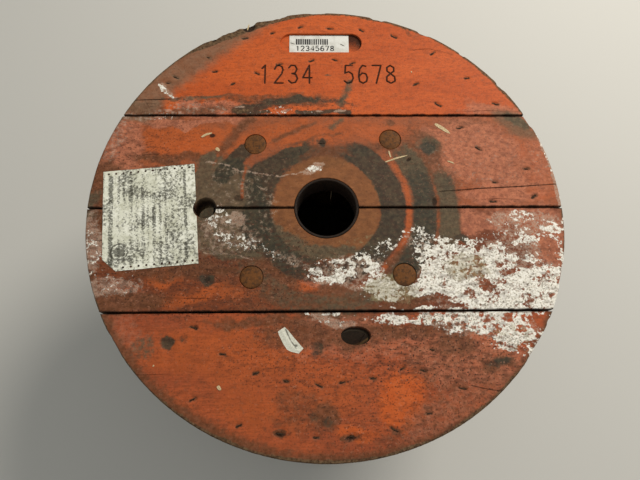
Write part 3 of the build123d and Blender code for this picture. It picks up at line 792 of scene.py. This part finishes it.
def boardCuts(node, upper, outer, shownZ, hiddenZ, lift):
    # what is taken out of a board: first the through holes and splits, then the recesses or the groove
    past, before = shownZ + lift * 4, hiddenZ - lift * 4
    through = [drilling(holes["bush"], before, past, 128, 0.8, shownZ),
               drilling(holes["drive"], before, past, 64, 1.0, shownZ)]
    through += [drilling((*bolt, holes["shank"]), before, past, 24) for bolt in holes["bolts"]]
    if upper:
        through.append(slotShape(holes["cable"], [
            (min(before, past), 0), (max(shownZ, hiddenZ) - 0.8, 0), (max(before, past), 1.2)]))
    for path, width, depth in splits.get(node, []):
        crack = np.array([(px, py, shownZ) for px, py in path])
        taper = width * np.sin(np.linspace(0.25, np.pi - 0.25, len(path)))
        through.append(carried(crack, wedgeSection, taper, depth))
    if not outer:
        floor = shownZ - lift * groove["depth"]
        profile = [(groove["outside"], floor), (groove["outside"], past), (groove["inside"], past),
                   (groove["inside"], floor)]
        return through, [gridShape(turned((0, 0), profile, groove["sides"]), closedRows=True)]
    size, depth = (holes["head"], holes["headDepth"]) if upper else (holes["washer"], holes["washerDepth"])
    wide = [drilling((*bolt, size), shownZ - lift * depth, past, 64, 0.5, shownZ) for bolt in holes["bolts"]]
    if upper:
        wide.append(slotShape(holes["pocket"], [
            (shownZ - holes["pocket"]["depth"], -0.4), (shownZ - 1.0, 0), (past, 2.0)]))
    return through, wide


def addGrimeAndShade(masks, x, y, z, depth, node, row, seed):
    # dirt and bare wood in the holes and on the sawn sides, and painted shade in the holes, on the inner walls and
    # at the pocket's far end; depth is how far a point is under the shown face
    wall = ease((depth - 1.2) / 4)
    if row in ("front", "midFront", "midRear", "rear"):
        pocketReach = slotReach(x, y, holes["pocket"])
        dx, dy = x - holes["pocket"]["centre"][0], y - holes["pocket"]["centre"][1]
        inPocket = pocketReach < 2.0
        wall = wall * (1 - inPocket)
        # painted shadow of the pocket's far wall: black on its floor towards the right end
        pocketShadow = ease((pocketReach + 10) / 5) * ease((dx - holes["pocket"]["shadowFrom"] + 0.6 * dy) / 18)
        deepen(masks, "sootAndShade", inPocket * ease((depth - 0.8) / 2) * pocketShadow)
    # painted shade: black inside the drive and cable holes
    driveReach = np.hypot(x - holes["drive"][0], y - holes["drive"][1]) - holes["drive"][2]
    inHole = ease((3 - np.minimum(slotReach(x, y, holes["cable"]), driveReach)) / 2) * ease((depth - 0.5) / 3)
    deepen(masks, "sootAndShade", 0.9 * inHole)
    if node.startswith("lower_inner"):  # mud and grease settle on the face that looks up
        masks["soil"] = 0.7 + 0.5 * fractal(x, y, 60, seed + 21)
        deepen(masks, "rubber", 0.25 + 0.5 * fractal(x, y, 40, seed + 22))
    if row != "bare":
        deepen(masks, "bare", wall * (0.45 + 0.8 * fractal(x + y, z * 3, (16, 10), seed + 70)))
        for mask in ("plaster", "pale", "bright", "silt"):
            masks[mask] = masks.get(mask, 0 * x) * (1 - wall)
    # painted shade on the inner walls of holes, recesses and seams, not at the rim
    deepen(masks, "sootAndShade", wall * 0.35 * (np.hypot(x, y) < radius - 15))


def makeBoard(node, name, row, along, upper, outer):
    # one board: slab with worn arrises, sawn round by the rim shape, drilled, then weathered by moving points
    low, high = solidBox(node)
    across = 1 - along
    shownHigh = upper == outer
    shownZ, hiddenZ = (high[2], low[2]) if shownHigh else (low[2], high[2])
    lift = 1 if shownHigh else -1
    fineFace = upper and outer
    grid = fineGrid if fineFace else plainGrid
    step = grid["step"]
    seed = 100 + sum(map(ord, node))
    rimLow, rimHigh = low[across] < 1 - radius, high[across] > radius - 1
    start, end = low[across] - 3 * rimLow, high[across] + 3 * rimHigh
    figured = row == "rear"
    columns = spaced(-radius - 2, radius + 2, step, stamp["span"] if figured else None)
    stretch = (stamp["base"] - 3, stamp["base"] + stamp["height"] + 3)
    rows = spaced(start + 1.5, end - 1.5, step, stretch if figured else None)
    wear = np.array([0.5 + 0.7 * fractal(columns, 0 * columns, 70, seed + k)
                     + 4.0 * np.clip(noise(columns, 0 * columns, 16, seed + 5 + k) - 0.86, 0, 1)
                     for k in (0, 2)])
    points = slab(columns, rows, start, end, shownZ, hiddenZ, wear)
    if along == 1:
        points = points[:, :, [1, 0, 2]]
    mesh = makeMesh(name, gridShape(points))
    layer = 2 * upper + outer
    mesh = carve(mesh, rimShape(shownZ, hiddenZ, rimChips if fineFace else rimChips[1::3], 60 + layer,
                                grid["rimSides"]), "INTERSECT")
    for cuts in boardCuts(node, upper, outer, shownZ, hiddenZ, lift):
        mesh = carve(mesh, joined(cuts))

    points = readPoints(mesh)
    x, y, z = points.T
    depth = (shownZ - z) * lift
    if fineFace:
        masks = upperMasks(x, y)
        relief = upperRelief(x, y, masks)
    else:
        masks = plainMasks(x, y, seed, outer)
        relief = plainRelief(x, y, seed, along)
    addGrimeAndShade(masks, x, y, z, depth, node, row, seed)
    farOff = 99  # a side that is the flange's rim counts as no seam
    seam = np.minimum(abs(points[:, across] - low[across]) + farOff * rimLow,
                      abs(points[:, across] - high[across]) + farOff * rimHigh)
    deepen(masks, "sootAndShade", 0.75 * ease(1 - seam / 4.5) * fractal(x, y, 12, seed + 3) * 1.6)
    points[:, 2] += lift * ease(1 - depth / 5) * relief
    writePoints(mesh, points)
    writeMasks(mesh, masks)
    material = pineAlong["xy"[along]] if row == "bare" else stained[row]
    makePiece(name, mesh, material, [node])


def plainMasks(x, y, seed, outer):
    # wear of the faces that the upper side doesn't show: soft clouds of dirt, darker to the rim and the barrel
    reach = np.hypot(x, y)
    cloud = fractal(x, y, (150, 60), seed + 11)
    streaky = fractal(x, y, 26, seed + 15)
    rub = ease(1 - abs(reach - 215) / 60)
    return {
        "brown": ease((cloud - 0.42) * 4) * 0.9, "soil": ease((fractal(x, y, 90, seed + 12) - 0.5) * 4) * 0.6,
        "rubber": np.clip(0.75 * rub * streaky + 0.35 * ease((streaky - 0.62) * 8), 0, 1),
        "dust": ease((fractal(x, y, 60, seed + 13) - 0.5) * 5), "bare": 1.1 * ease((reach - radius + 9) / 8),
        "fresh": 0.7 * outer * ease((fractal(x, y, 80, seed + 14) - 0.5) * 5),
        "rust": ease(1 - (reach - 54) / 30) * 1.0, "sootAndShade": 0.5 * ease((streaky - 0.7) * 10),
        "speck": 0.6 + 0 * x,
    }


def plainRelief(x, y, seed, along):
    # cupping across the board and raised grain along it, always into the wood
    size = (180, 40) if along == 0 else (40, 180)
    fine = (50, 5) if along == 0 else (5, 50)
    return -0.5 + 0.5 * (fractal(x, y, size, seed) - 0.5) + 0.2 * (noise(x, y, fine, seed + 1) - 0.5)


# The boards, named after their solids
for number, row in enumerate(("front", "midFront", "midRear", "rear"), start=1):
    makeBoard(f"upper_outer_board_{number}", f"upperOuterBoard{number}", row, 0, True, True)
    makeBoard(f"lower_outer_board_{number}", f"lowerOuterBoard{number}", "under", 0, False, True)
print("outer boards made")
for number in range(1, 6):
    makeBoard(f"upper_inner_board_{number}", f"upperInnerBoard{number}", "bare", 1, True, False)
    makeBoard(f"lower_inner_board_{number}", f"lowerInnerBoard{number}", "bare", 1, False, False)
print("inner boards made")

# Staves of the barrel: flat, bevelled to meet, each a little out of true; painted shade blackens the ones below
# the cable hole, and the drive holes cut into those beside them
stave = {"count": 24, "outside": 198.29, "inside": 180.29, "gap": 0.8, "arris": 1.5, "rows": 70,
         "innerPoints": 4, "outerPoints": 13, "drilled": (12, 13, 14),
         "shadeAngle": -72, "shadeHalf": 13, "shadeFrom": 110, "around": 210}


def makeStave(number):
    node = f"stave_{number:02d}"
    low, high = solidBox(node)
    turn = 2 * np.pi * (number - 1) / stave["count"]
    half = np.pi / stave["count"]
    outer = stave["outside"] * np.tan(half) - stave["gap"] / 2
    inner = stave["inside"] * np.tan(half) - stave["gap"] / 2
    arris = stave["arris"]
    across = np.concatenate([np.linspace(-inner, inner, stave["innerPoints"]), [outer - arris * 0.3],
                             np.linspace(outer - arris, arris - outer, stave["outerPoints"]),
                             [arris * 0.3 - outer]])
    reach = np.repeat([stave["inside"], stave["outside"] - arris, stave["outside"], stave["outside"] - arris],
                      [stave["innerPoints"], 1, stave["outerPoints"], 1])
    z = np.linspace(low[2], high[2], stave["rows"])
    points = np.zeros((len(z), len(across), 3))
    u, v = np.meshgrid(across, z)
    relief = 0.3 * (fractal(u + 90 * number, v, (14, 160), 5) - 0.6) + 0.2 * (noise(u, v, (2.6, 60), number) - 0.6)
    out = reach + np.where(reach > stave["inside"] + 1, relief, 0)
    points[:, :, 0] = out * np.cos(turn) - u * np.sin(turn)
    points[:, :, 1] = out * np.sin(turn) + u * np.cos(turn)
    points[:, :, 2] = v
    mesh = makeMesh(f"stave{number:02d}", gridShape(points))
    if number in stave["drilled"]:
        for bottom, top in ((-1, innerBottomFace), (innerTopFace, topFace)):
            mesh = carve(mesh, drilling(holes["drive"], bottom, top, 64))
    points = readPoints(mesh)
    x, y, z = points.T
    along = stave["around"] * np.arctan2(y, x)
    ends = np.minimum(z - innerBottomFace, innerTopFace - z)
    own = np.random.default_rng(300 + number).uniform(0, 1, 3)
    masks = {
        "brown": np.clip(0.35 * own[0] + ease((fractal(along, z, (40, 150), 7) - 0.45) * 4) * 0.8, 0, 1),
        "soil": 0.9 * ease(1 - ends / 22) + 0.3 * own[1],
        "rubber": 0.55 * ease((fractal(along, z, (70, 22), 17) - 0.5) * 4), "rust": 0.25 * own[2] + 0 * z,
        "sootAndShade": 0.7 * ease(1 - ends / 3), "speck": 0.5 + 0 * z,
    }
    # painted shade: black on the staves below the cable hole, and inside the drive holes
    fromHole = abs(np.degrees(np.arctan2(y, x)) - stave["shadeAngle"]) / stave["shadeHalf"]
    fromHole = fromHole + 0.7 * fractal(along, z, 40, 19)
    inDrive = ease((24 - np.hypot(x - holes["drive"][0], y - holes["drive"][1])) / 3) * ease(1.6 - ends / 30)
    deepen(masks, "sootAndShade", 0.95 * ease(1.8 - fromHole) * ease((z - stave["shadeFrom"]) / 90))
    deepen(masks, "sootAndShade", 0.95 * inDrive)
    writeMasks(mesh, masks)
    makePiece(f"barrelStave{number:02d}", mesh, stavePine, [node])


for number in range(1, stave["count"] + 1):
    makeStave(number)
print("staves made")


# Steel: bushes, bolts, washers and nuts, turned profiles with small dents

steel = {"bore": 50.0, "bushSides": 144, "shank": 6.0, "headThickness": 3.6, "boltSides": 56,
         "washerHole": 6.6, "nutHole": 6.1, "nutSides": 48}


def makeBush(node, name):
    low, high = solidBox(node)
    bore, outside, bottom, top = steel["bore"], high[0], low[2], high[2]
    profile = [(bore + 0.9, top), (bore + 0.1, top - 0.8), (bore, top - 3), (bore, (bottom + top) / 2),
               (bore, bottom + 3), (bore + 0.1, bottom + 0.8), (bore + 0.9, bottom), (outside - 1.0, bottom),
               (outside, bottom + 1), (outside, top - 1), (outside - 1.0, top)]
    points = turned((0, 0), profile, steel["bushSides"])
    angle = circleAngles(steel["bushSides"])
    points[[0, -1], :, 2] -= 0.5 * ease((noise(50 * angle, 0 * angle, 12, 6) - 0.62) * 5)
    points[0, :, 2] -= 0.15
    makePiece(name, gridShape(points, closedRows=True), bushRust, [node])


def makeBolt(number):
    node = f"tie_bolt_{number}"
    low, high = solidBox(node)
    head, shank = (high[0] - low[0]) / 2, steel["shank"]
    bottom, top, seat = low[2], high[2], high[2] - steel["headThickness"]
    profile = [(0.8, top - 0.25), (5, top - 0.22), (9, top - 0.3), (12, top - 0.35), (13.2, top - 0.6),
               (15, top - 0.75), (17.2, top - 1.0), (18.4, top - 1.6), (head, top - 2.4), (head - 0.1, seat),
               (shank, seat - 0.1), (shank, seat - 30), (shank, bottom + 12), (shank, bottom + 1.5),
               (shank - 1.5, bottom)]
    points = turned((low + high) / 2, profile, steel["boltSides"])
    face = points[:9]  # the rows of the head, a little uneven but never over its top
    face[:, :, 2] += 0.4 * (noise(face[:, :, 0], face[:, :, 1], 5, 40 + number) - 0.5)
    face[:, :, 2] = np.minimum(face[:, :, 2], top)
    makePiece(f"tieBolt{number}", gridShape(points), headRust, [node])


def makeRing(node, name, profile):
    points = turned(centreOf(node), profile, steel["nutSides"])
    makePiece(name, gridShape(points, closedRows=True), headRust, [node])


makeBush("upper_bush", "upperBush")
makeBush("lower_bush", "lowerBush")
nutAngle = np.degrees(circleAngles(steel["nutSides"])) % 60 - 30
for number in (1, 2, 3, 4):
    makeBolt(number)
    low, high = solidBox(f"washer_{number}")
    bottom, top, rim, hole = low[2], high[2], (high[0] - low[0]) / 2, steel["washerHole"]
    makeRing(f"washer_{number}", f"flatWasher{number}", [
        (hole, bottom), (hole, top), (rim - 0.6, top), (rim, top - 0.6), (rim, bottom + 0.6), (rim - 0.6, bottom)])
    low, high = solidBox(f"nut_{number}")
    bottom, top, flats, hole = low[2], high[2], (high[1] - low[1]) / 2, steel["nutHole"]
    hexagon = flats / np.cos(nutAngle * np.pi / 180)
    makeRing(f"nut_{number}", f"hexNut{number}", [
        (hole, bottom + 0.6), (hole, top), (hexagon, top), (hexagon, bottom + 1.1),
        (np.minimum(hexagon, flats + 0.1), bottom + 0.3), (8.2, bottom), (7.0, bottom)])
print("bushes and bolts made")


# Nails: clinched tips on the outer faces, flat heads on the inner ones

def bentTips(faceZ, lift, places):
    # a short wire, lowest at both ends, lying in its gouge
    share = np.linspace(-1, 1, 5)
    size = nails["wire"] * (1 - 0.45 * (share + 1) / 2)
    shapes = []
    for (cx, cy), turn, run in zip(places, nailTurns, nailRuns):
        path = np.stack([cx + run * share * np.cos(turn), cy + run * share * np.sin(turn),
                         faceZ - lift * (1.5 + 1.6 * share ** 2)], 1)
        shapes.append(carried(path, roundSection, size, size))
    return joined(shapes)


def flatHeads(faceZ, lift, places):
    # a low disc, its edge pressed into the wood
    outline = np.full(12, nails["headRadius"])
    levels = [(faceZ - lift * 0.8, 0), (faceZ - lift * 0.35, 0), (faceZ - lift * 0.15, -0.9)]
    return joined([gridShape(rings(place, outline, levels)) for place in places])


def clearOfBarrel(places):
    return places[np.hypot(*places.T) > nails["clearOfBarrel"]]


places = np.array(nails["places"], float)
lowerPlaces = places[:, ::-1] * [1, -1]
lowerPlaces = lowerPlaces[[min(np.hypot(*(place - bolt)) for bolt in np.array(holes["bolts"]))
                           > nails["clearOfBolt"] for place in lowerPlaces]]
for name, shape in {
    "upperNailTips": bentTips(topFace, 1, places),
    "lowerNailTips": bentTips(0.0, -1, clearOfBarrel(lowerPlaces)),
    "upperNailHeads": flatHeads(innerTopFace, -1, clearOfBarrel(places)),
    "lowerNailHeads": flatHeads(innerBottomFace, 1, clearOfBarrel(lowerPlaces)),
}.items():
    makePiece(name, shape, nailRust)
print("nails made")


# Paper label: pale grey-green sheet, cockled, with feed holes along two edges and worn print

def labelPaper():
    # Glued uncoated paper, soaked with dirt: matt, pale, with illegible grey smudges and black grit
    material, tree, shader, place = newMaterial("dirtyLabelPaper", Roughness=0.85, Specular_IOR_Level=0.2)
    tone = tinted(tree, colour("#F0F1E2"), "#DDDECB", speckle(tree, place, 30, 0.36, 0.64, 6.0))
    tone = tinted(tree, tone, "#A3A288", speckle(tree, place, 8, 0.44, 0.68, 9.0), 0.55)
    sheet = addNode(tree, "Attribute", out="Vector", attribute_name="sheet")
    for mask, size, stretch, ragged, tint, cover in (
            ("print", 2.8, (0.8, 1, 1), 2.2, "#34322A", 0.8), ("grit", 4.6, even, 2.0, "#36332A", 0.8)):
        source = addNode(tree, "Attribute", out="Fac", attribute_name=mask)
        scaled = addNode(tree, "Mapping", {"Vector": sheet, "Scale": stretch})
        field = addNode(tree, "TexNoise", {"Vector": scaled, "Scale": 1 / (size * mm), "Detail": 8.0,
                                           "Roughness": 0.7})
        broken = addNode(tree, "Math", {0: field, 1: ragged, 2: source}, operation="MULTIPLY_ADD")
        share = addNode(tree, "MapRange", {"Value": broken, "From Min": 1.42, "From Max": 1.69},
                        interpolation_type="SMOOTHSTEP")
        tone = tinted(tree, tone, tint, share, cover)
    bump = addNode(tree, "Bump", {"Height": speckle(tree, place, 2.5, 0.3, 0.7), "Strength": 0.25,
                                  "Distance": 0.15 * mm})
    wire(tree, shader, Base_Color=tone, Normal=bump)
    return material


def labelMasks(u, v):
    # print: rows of blots that stand for illegible lines, turned along v; grit: dirt and one round smudge
    ink = sum(strength * ease(1.4 - abs(u - centre) / half) for centre, half, strength in label["lines"])
    words = 0.7 + 0.3 * ease((noise(u, v, (30, 14), 93) - 0.3) * 5)
    ink = ink * words * ease((84 - abs(v)) / 6)
    grit = 0.33 + 0.24 * ease((fractal(u, v, 26, 92) - 0.36) * 4)
    rubbed = ease(1.4 - np.hypot((u + 45) / 22, (v + 8) / 30)) + ease(1.4 - np.hypot((u - 10) / 12, (v - 60) / 20))
    ink = ink - 0.2 * rubbed
    smudge = np.hypot(u + 50, v + 57)
    grit = np.maximum(grit, 0.72 * ease(1.8 - smudge / 9) + 0.72 * ease(1 - abs(smudge - 14) / 3))
    for start, end in (((-2, 62), (20, 38)), ((36, 12), (64, -22)), ((20, 40), (30, 26)), ((52, 30), (72, 6))):
        grit = np.maximum(grit, 0.7 * ease(1.2 - pathDistance(u, v, [start, end]) / 1.6))
    return {"print": np.clip(ink, 0, 0.85), "grit": np.clip(grit - 0.15 * rubbed, 0, 1)}


def makeLabel():
    halfU, halfV, step = label["width"] / 2, label["height"] / 2, label["step"]
    columns, rows = spaced(-halfU, halfU, step), spaced(-halfV, halfV, step)
    bottom = topFace - label["lift"] - label["thickness"]
    points = slab(columns, rows[1:-1], -halfV, halfV, bottom + label["thickness"], bottom, 0.02)
    mesh = makeMesh("paperLabel", gridShape(points))
    # the feed holes, the notch at the drive hole and the corner that is cut off
    dot = np.full(10, label["holeRadius"])
    feed = np.linspace(-label["holeRow"], label["holeRow"], label["holes"])
    notch = holes["drive"][2] + 1 + 0.8 * noise(np.arange(48.0), np.zeros(48), 4, 3)
    cuts = [((u, side * (halfV - label["holeInset"])), dot)
            for side in (-1, 1) for u in feed[(0 if side > 0 else 2):]]
    cuts += [(labelPlace(*holes["drive"][:2]), notch), ((-halfU, -halfV), np.full(4, label["corner"]))]
    mesh = carve(mesh, joined([gridShape(rings(*cut, [(bottom - 2, 0), (bottom + 3, 0)])) for cut in cuts]))
    points = readPoints(mesh)
    u, v = points[:, 0].copy(), points[:, 1].copy()
    edge = ease(1 - np.minimum(halfU - abs(u), halfV - abs(v)) / 7)
    cockle = 0.30 * fractal(u, v, (26, 46), 51) + 0.22 * edge * noise(u, v, 16, 52) + 0.08 * noise(u, v, 7, 53)
    writeMasks(mesh, labelMasks(u, v))
    sheet = mesh.attributes.new("sheet", "FLOAT_VECTOR", "POINT")
    sheet.data.foreach_set("vector", (np.stack([u, v, 0 * u], 1) * mm).ravel())
    ragged = 1.1 * edge * (fractal(u, v, 14, 54) - 0.5)
    u, v = u + ragged * np.sign(u), v + ragged * np.sign(v)
    points[:, 0] = label["centre"][0] + u * np.cos(labelTurn) - v * np.sin(labelTurn)
    points[:, 1] = label["centre"][1] + u * np.sin(labelTurn) + v * np.cos(labelTurn)
    points[:, 2] += cockle
    writePoints(mesh, points)
    makePiece("paperLabel", mesh, labelPaper(), ["paper_label"])


makeLabel()


# Number plate: white sheet in the pocket, with plain bars, plain figures and two staples
plate = {"bars": 15, "barsLeft": 13.5, "barsRight": 71.0, "barsLow": 17.5, "barsHigh": 30.0,
         "figuresLeft": 12.0, "figurePitch": 9.2, "figureWidth": 6.8, "figureHeight": 10.4, "figuresLow": 4.0,
         "ink": 0.12, "line": 2.1, "wire": 0.9}


def plateSheet():
    # Printed plastic sheet: white, a little glossy, with fine grey specks all over
    material, tree, shader, place, tone = twoTone("whitePlateSheet", "#DDDDD6", "#C9C8BF", 14, 0.40, 0.66,
                                                  Roughness=0.45)
    wire(tree, shader, Base_Color=tinted(tree, tone, "#7C786C", speckle(tree, place, 1.8, 0.62, 0.7), 0.5))
    return material


def printInk():
    # Black printing ink, gone grey and grainy
    return twoTone("greyedInk", "#131211", "#33312D", 1.5, 0.45, 0.65, Roughness=0.6)[0]


def stapleWire():
    # Galvanised wire, dulled
    material, tree, shader, place, _ = twoTone("galvanisedWire", "#5F5C52", "#3A372F", 2, 0.4, 0.6, Metallic=0.8)
    wire(tree, shader, Roughness=addNode(tree, "MapRange", {"Value": speckle(tree, place, 1, 0.3, 0.7),
                                                            "To Min": 0.35, "To Max": 0.6}))
    return material


def makePlate():
    low, high = solidBox("number_plate")
    columns, rows = spaced(low[0], high[0], 3.0), spaced(low[1], high[1], 3.0)
    points = slab(columns, rows[1:-1], low[1], high[1], high[2] - 0.1, low[2], 0.25)
    u, v = points[:, :, 0], points[:, :, 1]
    points[:, 4:-4, 2] += (0.1 * (noise(u, v, 25, 61) - 0.5))[:, 4:-4]
    makePiece("numberPlate", gridShape(points), plateSheet(), ["number_plate"])
    left, base, top = low[0], low[1], high[2] - 0.12
    widths = 2.0 + 1.2 * np.random.default_rng(4).integers(0, 3, plate["bars"]) / 2
    shapes = []
    bars = np.linspace(left + plate["barsLeft"], left + plate["barsRight"], plate["bars"])
    for x, width in zip(bars, widths):
        path = [(x, base + plate["barsLow"], top), (x, base + plate["barsHigh"], top)]
        shapes.append(carried(path, boxSection, width, plate["ink"]))
    lefts = left + plate["figuresLeft"] + plate["figurePitch"] * np.arange(len(plainNumber))
    for stroke in figurePaths(plainNumber, lefts, base + plate["figuresLow"], plate["figureWidth"],
                              plate["figureHeight"]):
        path = np.array([(x, y, top) for x, y in stroke])
        shapes.append(carried(path, boxSection, plate["line"], plate["ink"]))
    makePiece("platePrint", joined(shapes), printInk())
    legs, share = [], np.linspace(-1, 1, 7)
    for x, y, turn in ((left + 6, base + 20, -22), (left + 99, base + 17, -28)):
        run = np.array([np.cos(np.radians(turn)), np.sin(np.radians(turn))]) * 5
        path = np.stack([x + run[0] * share, y + run[1] * share, high[2] + 0.25 - 0.9 * share ** 6], 1)
        legs.append(carried(path, roundSection, plate["wire"], plate["wire"]))
    makePiece("plateStaples", joined(legs), stapleWire())


makePlate()
print("label and plate made")


# Loose bits on the upper flange: slivers of pale wood (path, width and height) and one scrap of paper,
# lying that deep under the nominal top face, on the worn boards
bitDepth = 0.62
slivers = [([(103, 84), (122, 91), (142, 97)], 2.8, 0.9), ([(113, 93), (111, 100), (110, 106)], 2.6, 0.8),
           ([(195, 159), (207, 150), (220, 140)], 6.5, 0.8), ([(211, 86), (217, 84), (223, 81)], 2.4, 0.7),
           ([(-217, 133), (-208, 138), (-199, 141)], 4.0, 0.8), ([(-191, 111), (-188, 109), (-184, 106)], 6.0, 0.9),
           ([(-168, -288), (-166, -291), (-163, -294)], 5.0, 0.8), ([(-268, -257), (-266, -258)], 3.0, 0.6),
           ([(159, 266), (161, 268)], 2.6, 0.6), ([(-144, 358), (-141, 372)], 2.2, 0.9)]


def looseBit(name, light, shade):
    # Broken spruce, not yet weathered: pale straw with fine fibre lines. The torn paper has the same fibre,
    # whiter, and a line of painted shade along its fold
    material, tree, shader, _, tone = twoTone(name, light, shade, 2.0, 0.4, 0.62, Roughness=0.7)
    fold = addNode(tree, "Attribute", out="Fac", attribute_name="fold")
    wire(tree, shader, Base_Color=tinted(tree, tone, "#3B362B", fold, 0.85))
    return material


def makeSlivers():
    # each runs through its path at even steps, thinnest at its ends
    shapes, share = [], np.linspace(0, 1, 7)
    taper = 1 - 0.55 * abs(2 * share - 0.9) ** 3
    for path, width, height in slivers:
        place = np.linspace(0, 1, len(path))
        points = np.stack([np.interp(share, place, run) for run in np.array(path, float).T]
                          + [np.full(len(share), topFace - bitDepth)], 1)
        shapes.append(carried(points, boxSection, width * taper, height * taper))
    makePiece("woodSlivers", joined(shapes), looseBit("brokenSpruce", "#D0BC93", "#A88C62"))


def makeScrap():
    # a torn strip of paper, bent along one fold: a grid between two ragged long edges
    left = np.array([(-78.6, -207), (-76, -214), (-70, -226), (-64, -235), (-58, -238), (-46, -241)], float)
    right = np.array([(-68, -200), (-62, -206), (-54, -216), (-46, -225), (-41, -231), (-38.5, -233)], float)
    share = np.linspace(0, 1, 21)[None, :, None]
    rows = np.linspace(0, len(left) - 1, 41)
    edges = [np.stack([np.interp(rows, range(len(left)), run) for run in side.T], 1) for side in (left, right)]
    flat = edges[0][:, None] * (1 - share) + edges[1][:, None] * share
    fold = 0.55 * ease(1 - abs(share[..., 0] - 0.42) / 0.3) * np.ones((len(rows), 1))
    low = topFace - bitDepth
    top = np.concatenate([flat, (low + 0.2 + fold)[..., None]], 2)
    bottom = np.concatenate([flat, (low + fold * 0.6)[..., None]], 2)[:, ::-1]
    section = np.concatenate([top, bottom], 1)
    mesh = makeMesh("paperScrap", gridShape(section))
    x, y, _ = readPoints(mesh).T
    crease = pathDistance(x, y, [(-66, -204), (-62, -214), (-58, -222), (-50, -233)]) + noise(x, y, 3, 8)
    spot = np.hypot(x + 50, y + 229)
    # painted shade along the crease, and one dark spot
    writeMasks(mesh, {"fold": np.maximum(ease(2.0 - crease / 1.0), ease(1.8 - spot / 1.6))})
    makePiece("paperScrap", mesh, looseBit("tornPaper", "#DEDED0", "#C6C5B3"))


makeSlivers()
makeScrap()
print("loose bits made")


# Floor, light and camera

def makeFloor():
    half, z = 9.0, -0.0003  # in metres
    mesh = bpy.data.meshes.new("floor")
    mesh.from_pydata([(-half, -half, z), (half, -half, z), (half, half, z), (-half, half, z)], [], [(0, 1, 2, 3)])
    floor = bpy.data.objects.new("floor", mesh)
    bpy.context.scene.collection.objects.link(floor)
    mesh.materials.append(newMaterial("paleFloor", Roughness=0.9, Base_Color=colour("#C9C8C2"))[0])


light = {"keyPlace": (1.7, 1.9, 2.7), "keyAim": (0, 0, 0.4), "keySize": 1.5, "keyPower": 103.0,
         "keyColour": "#FFF8EE", "fill": 0.42, "fillColour": "#F4F5F2", "backdrop": "#D9D9D4"}


def makeLight():
    key = bpy.data.objects.new("key", bpy.data.lights.new("key", "AREA"))
    key.data.shape, key.data.size, key.data.energy = "DISK", light["keySize"], light["keyPower"]
    key.data.color = colour(light["keyColour"])[:3]
    key.location = light["keyPlace"]
    aim = Matrix.Translation(light["keyAim"]).translation - key.location
    key.rotation_euler = aim.to_track_quat("-Z", "Y").to_euler()
    bpy.context.scene.collection.objects.link(key)
    world = bpy.data.worlds.new("studio")
    world.use_nodes = True
    bpy.context.scene.world = world
    tree = world.node_tree
    # the backdrop is what the camera, reflections and clear parts see; the fill is what lights the drum
    rays = addNode(tree, "LightPath").node.outputs
    seen = addNode(tree, "Math", {0: rays["Is Camera Ray"], 1: rays["Is Glossy Ray"]}, operation="MAXIMUM")
    seen = addNode(tree, "Math", {0: seen, 1: rays["Is Transmission Ray"]}, operation="MAXIMUM")
    fill = addNode(tree, "Background", {"Color": colour(light["fillColour"]), "Strength": light["fill"]})
    backdrop = addNode(tree, "Background", {"Color": colour(light["backdrop"])})
    sky = addNode(tree, "MixShader", {0: seen, 1: fill, 2: backdrop})
    tree.links.new(sky, tree.nodes["World Output"].inputs["Surface"])


# Camera held over the drum: lens from the picture's width of 640 and a focal length of 534.5 picture points
camera = {"place": (-0.0278, -0.3288, 1.3325), "pitch": 18.0, "roll": 3.04, "yaw": -3.44, "focal": 534.5,
          "pictureWidth": 640, "sensor": 36.0}


def makeCamera():
    pitch, roll, yaw = (np.radians(camera[key]) for key in ("pitch", "roll", "yaw"))
    aroundZ = np.array([[np.cos(roll), np.sin(roll), 0], [-np.sin(roll), np.cos(roll), 0], [0, 0, 1]])
    tilt = np.array([[1, 0, 0], [0, np.cos(pitch), -np.sin(pitch)], [0, np.sin(pitch), np.cos(pitch)]])
    swing = np.array([[np.cos(yaw), -np.sin(yaw), 0], [np.sin(yaw), np.cos(yaw), 0], [0, 0, 1]])
    axes = aroundZ @ tilt.T @ swing.T
    view = bpy.data.objects.new("camera", bpy.data.cameras.new("camera"))
    view.data.sensor_width = camera["sensor"]
    view.data.lens = camera["sensor"] * camera["focal"] / camera["pictureWidth"]
    matrix = np.eye(4)
    matrix[:3, :3] = axes.T
    matrix[:3, 3] = camera["place"]
    view.matrix_world = Matrix(matrix.tolist())
    bpy.context.scene.collection.objects.link(view)
    bpy.context.scene.camera = view


makeFloor()
makeLight()
makeCamera()
bpy.context.scene.view_settings.view_transform = "Standard"
print("stage made")
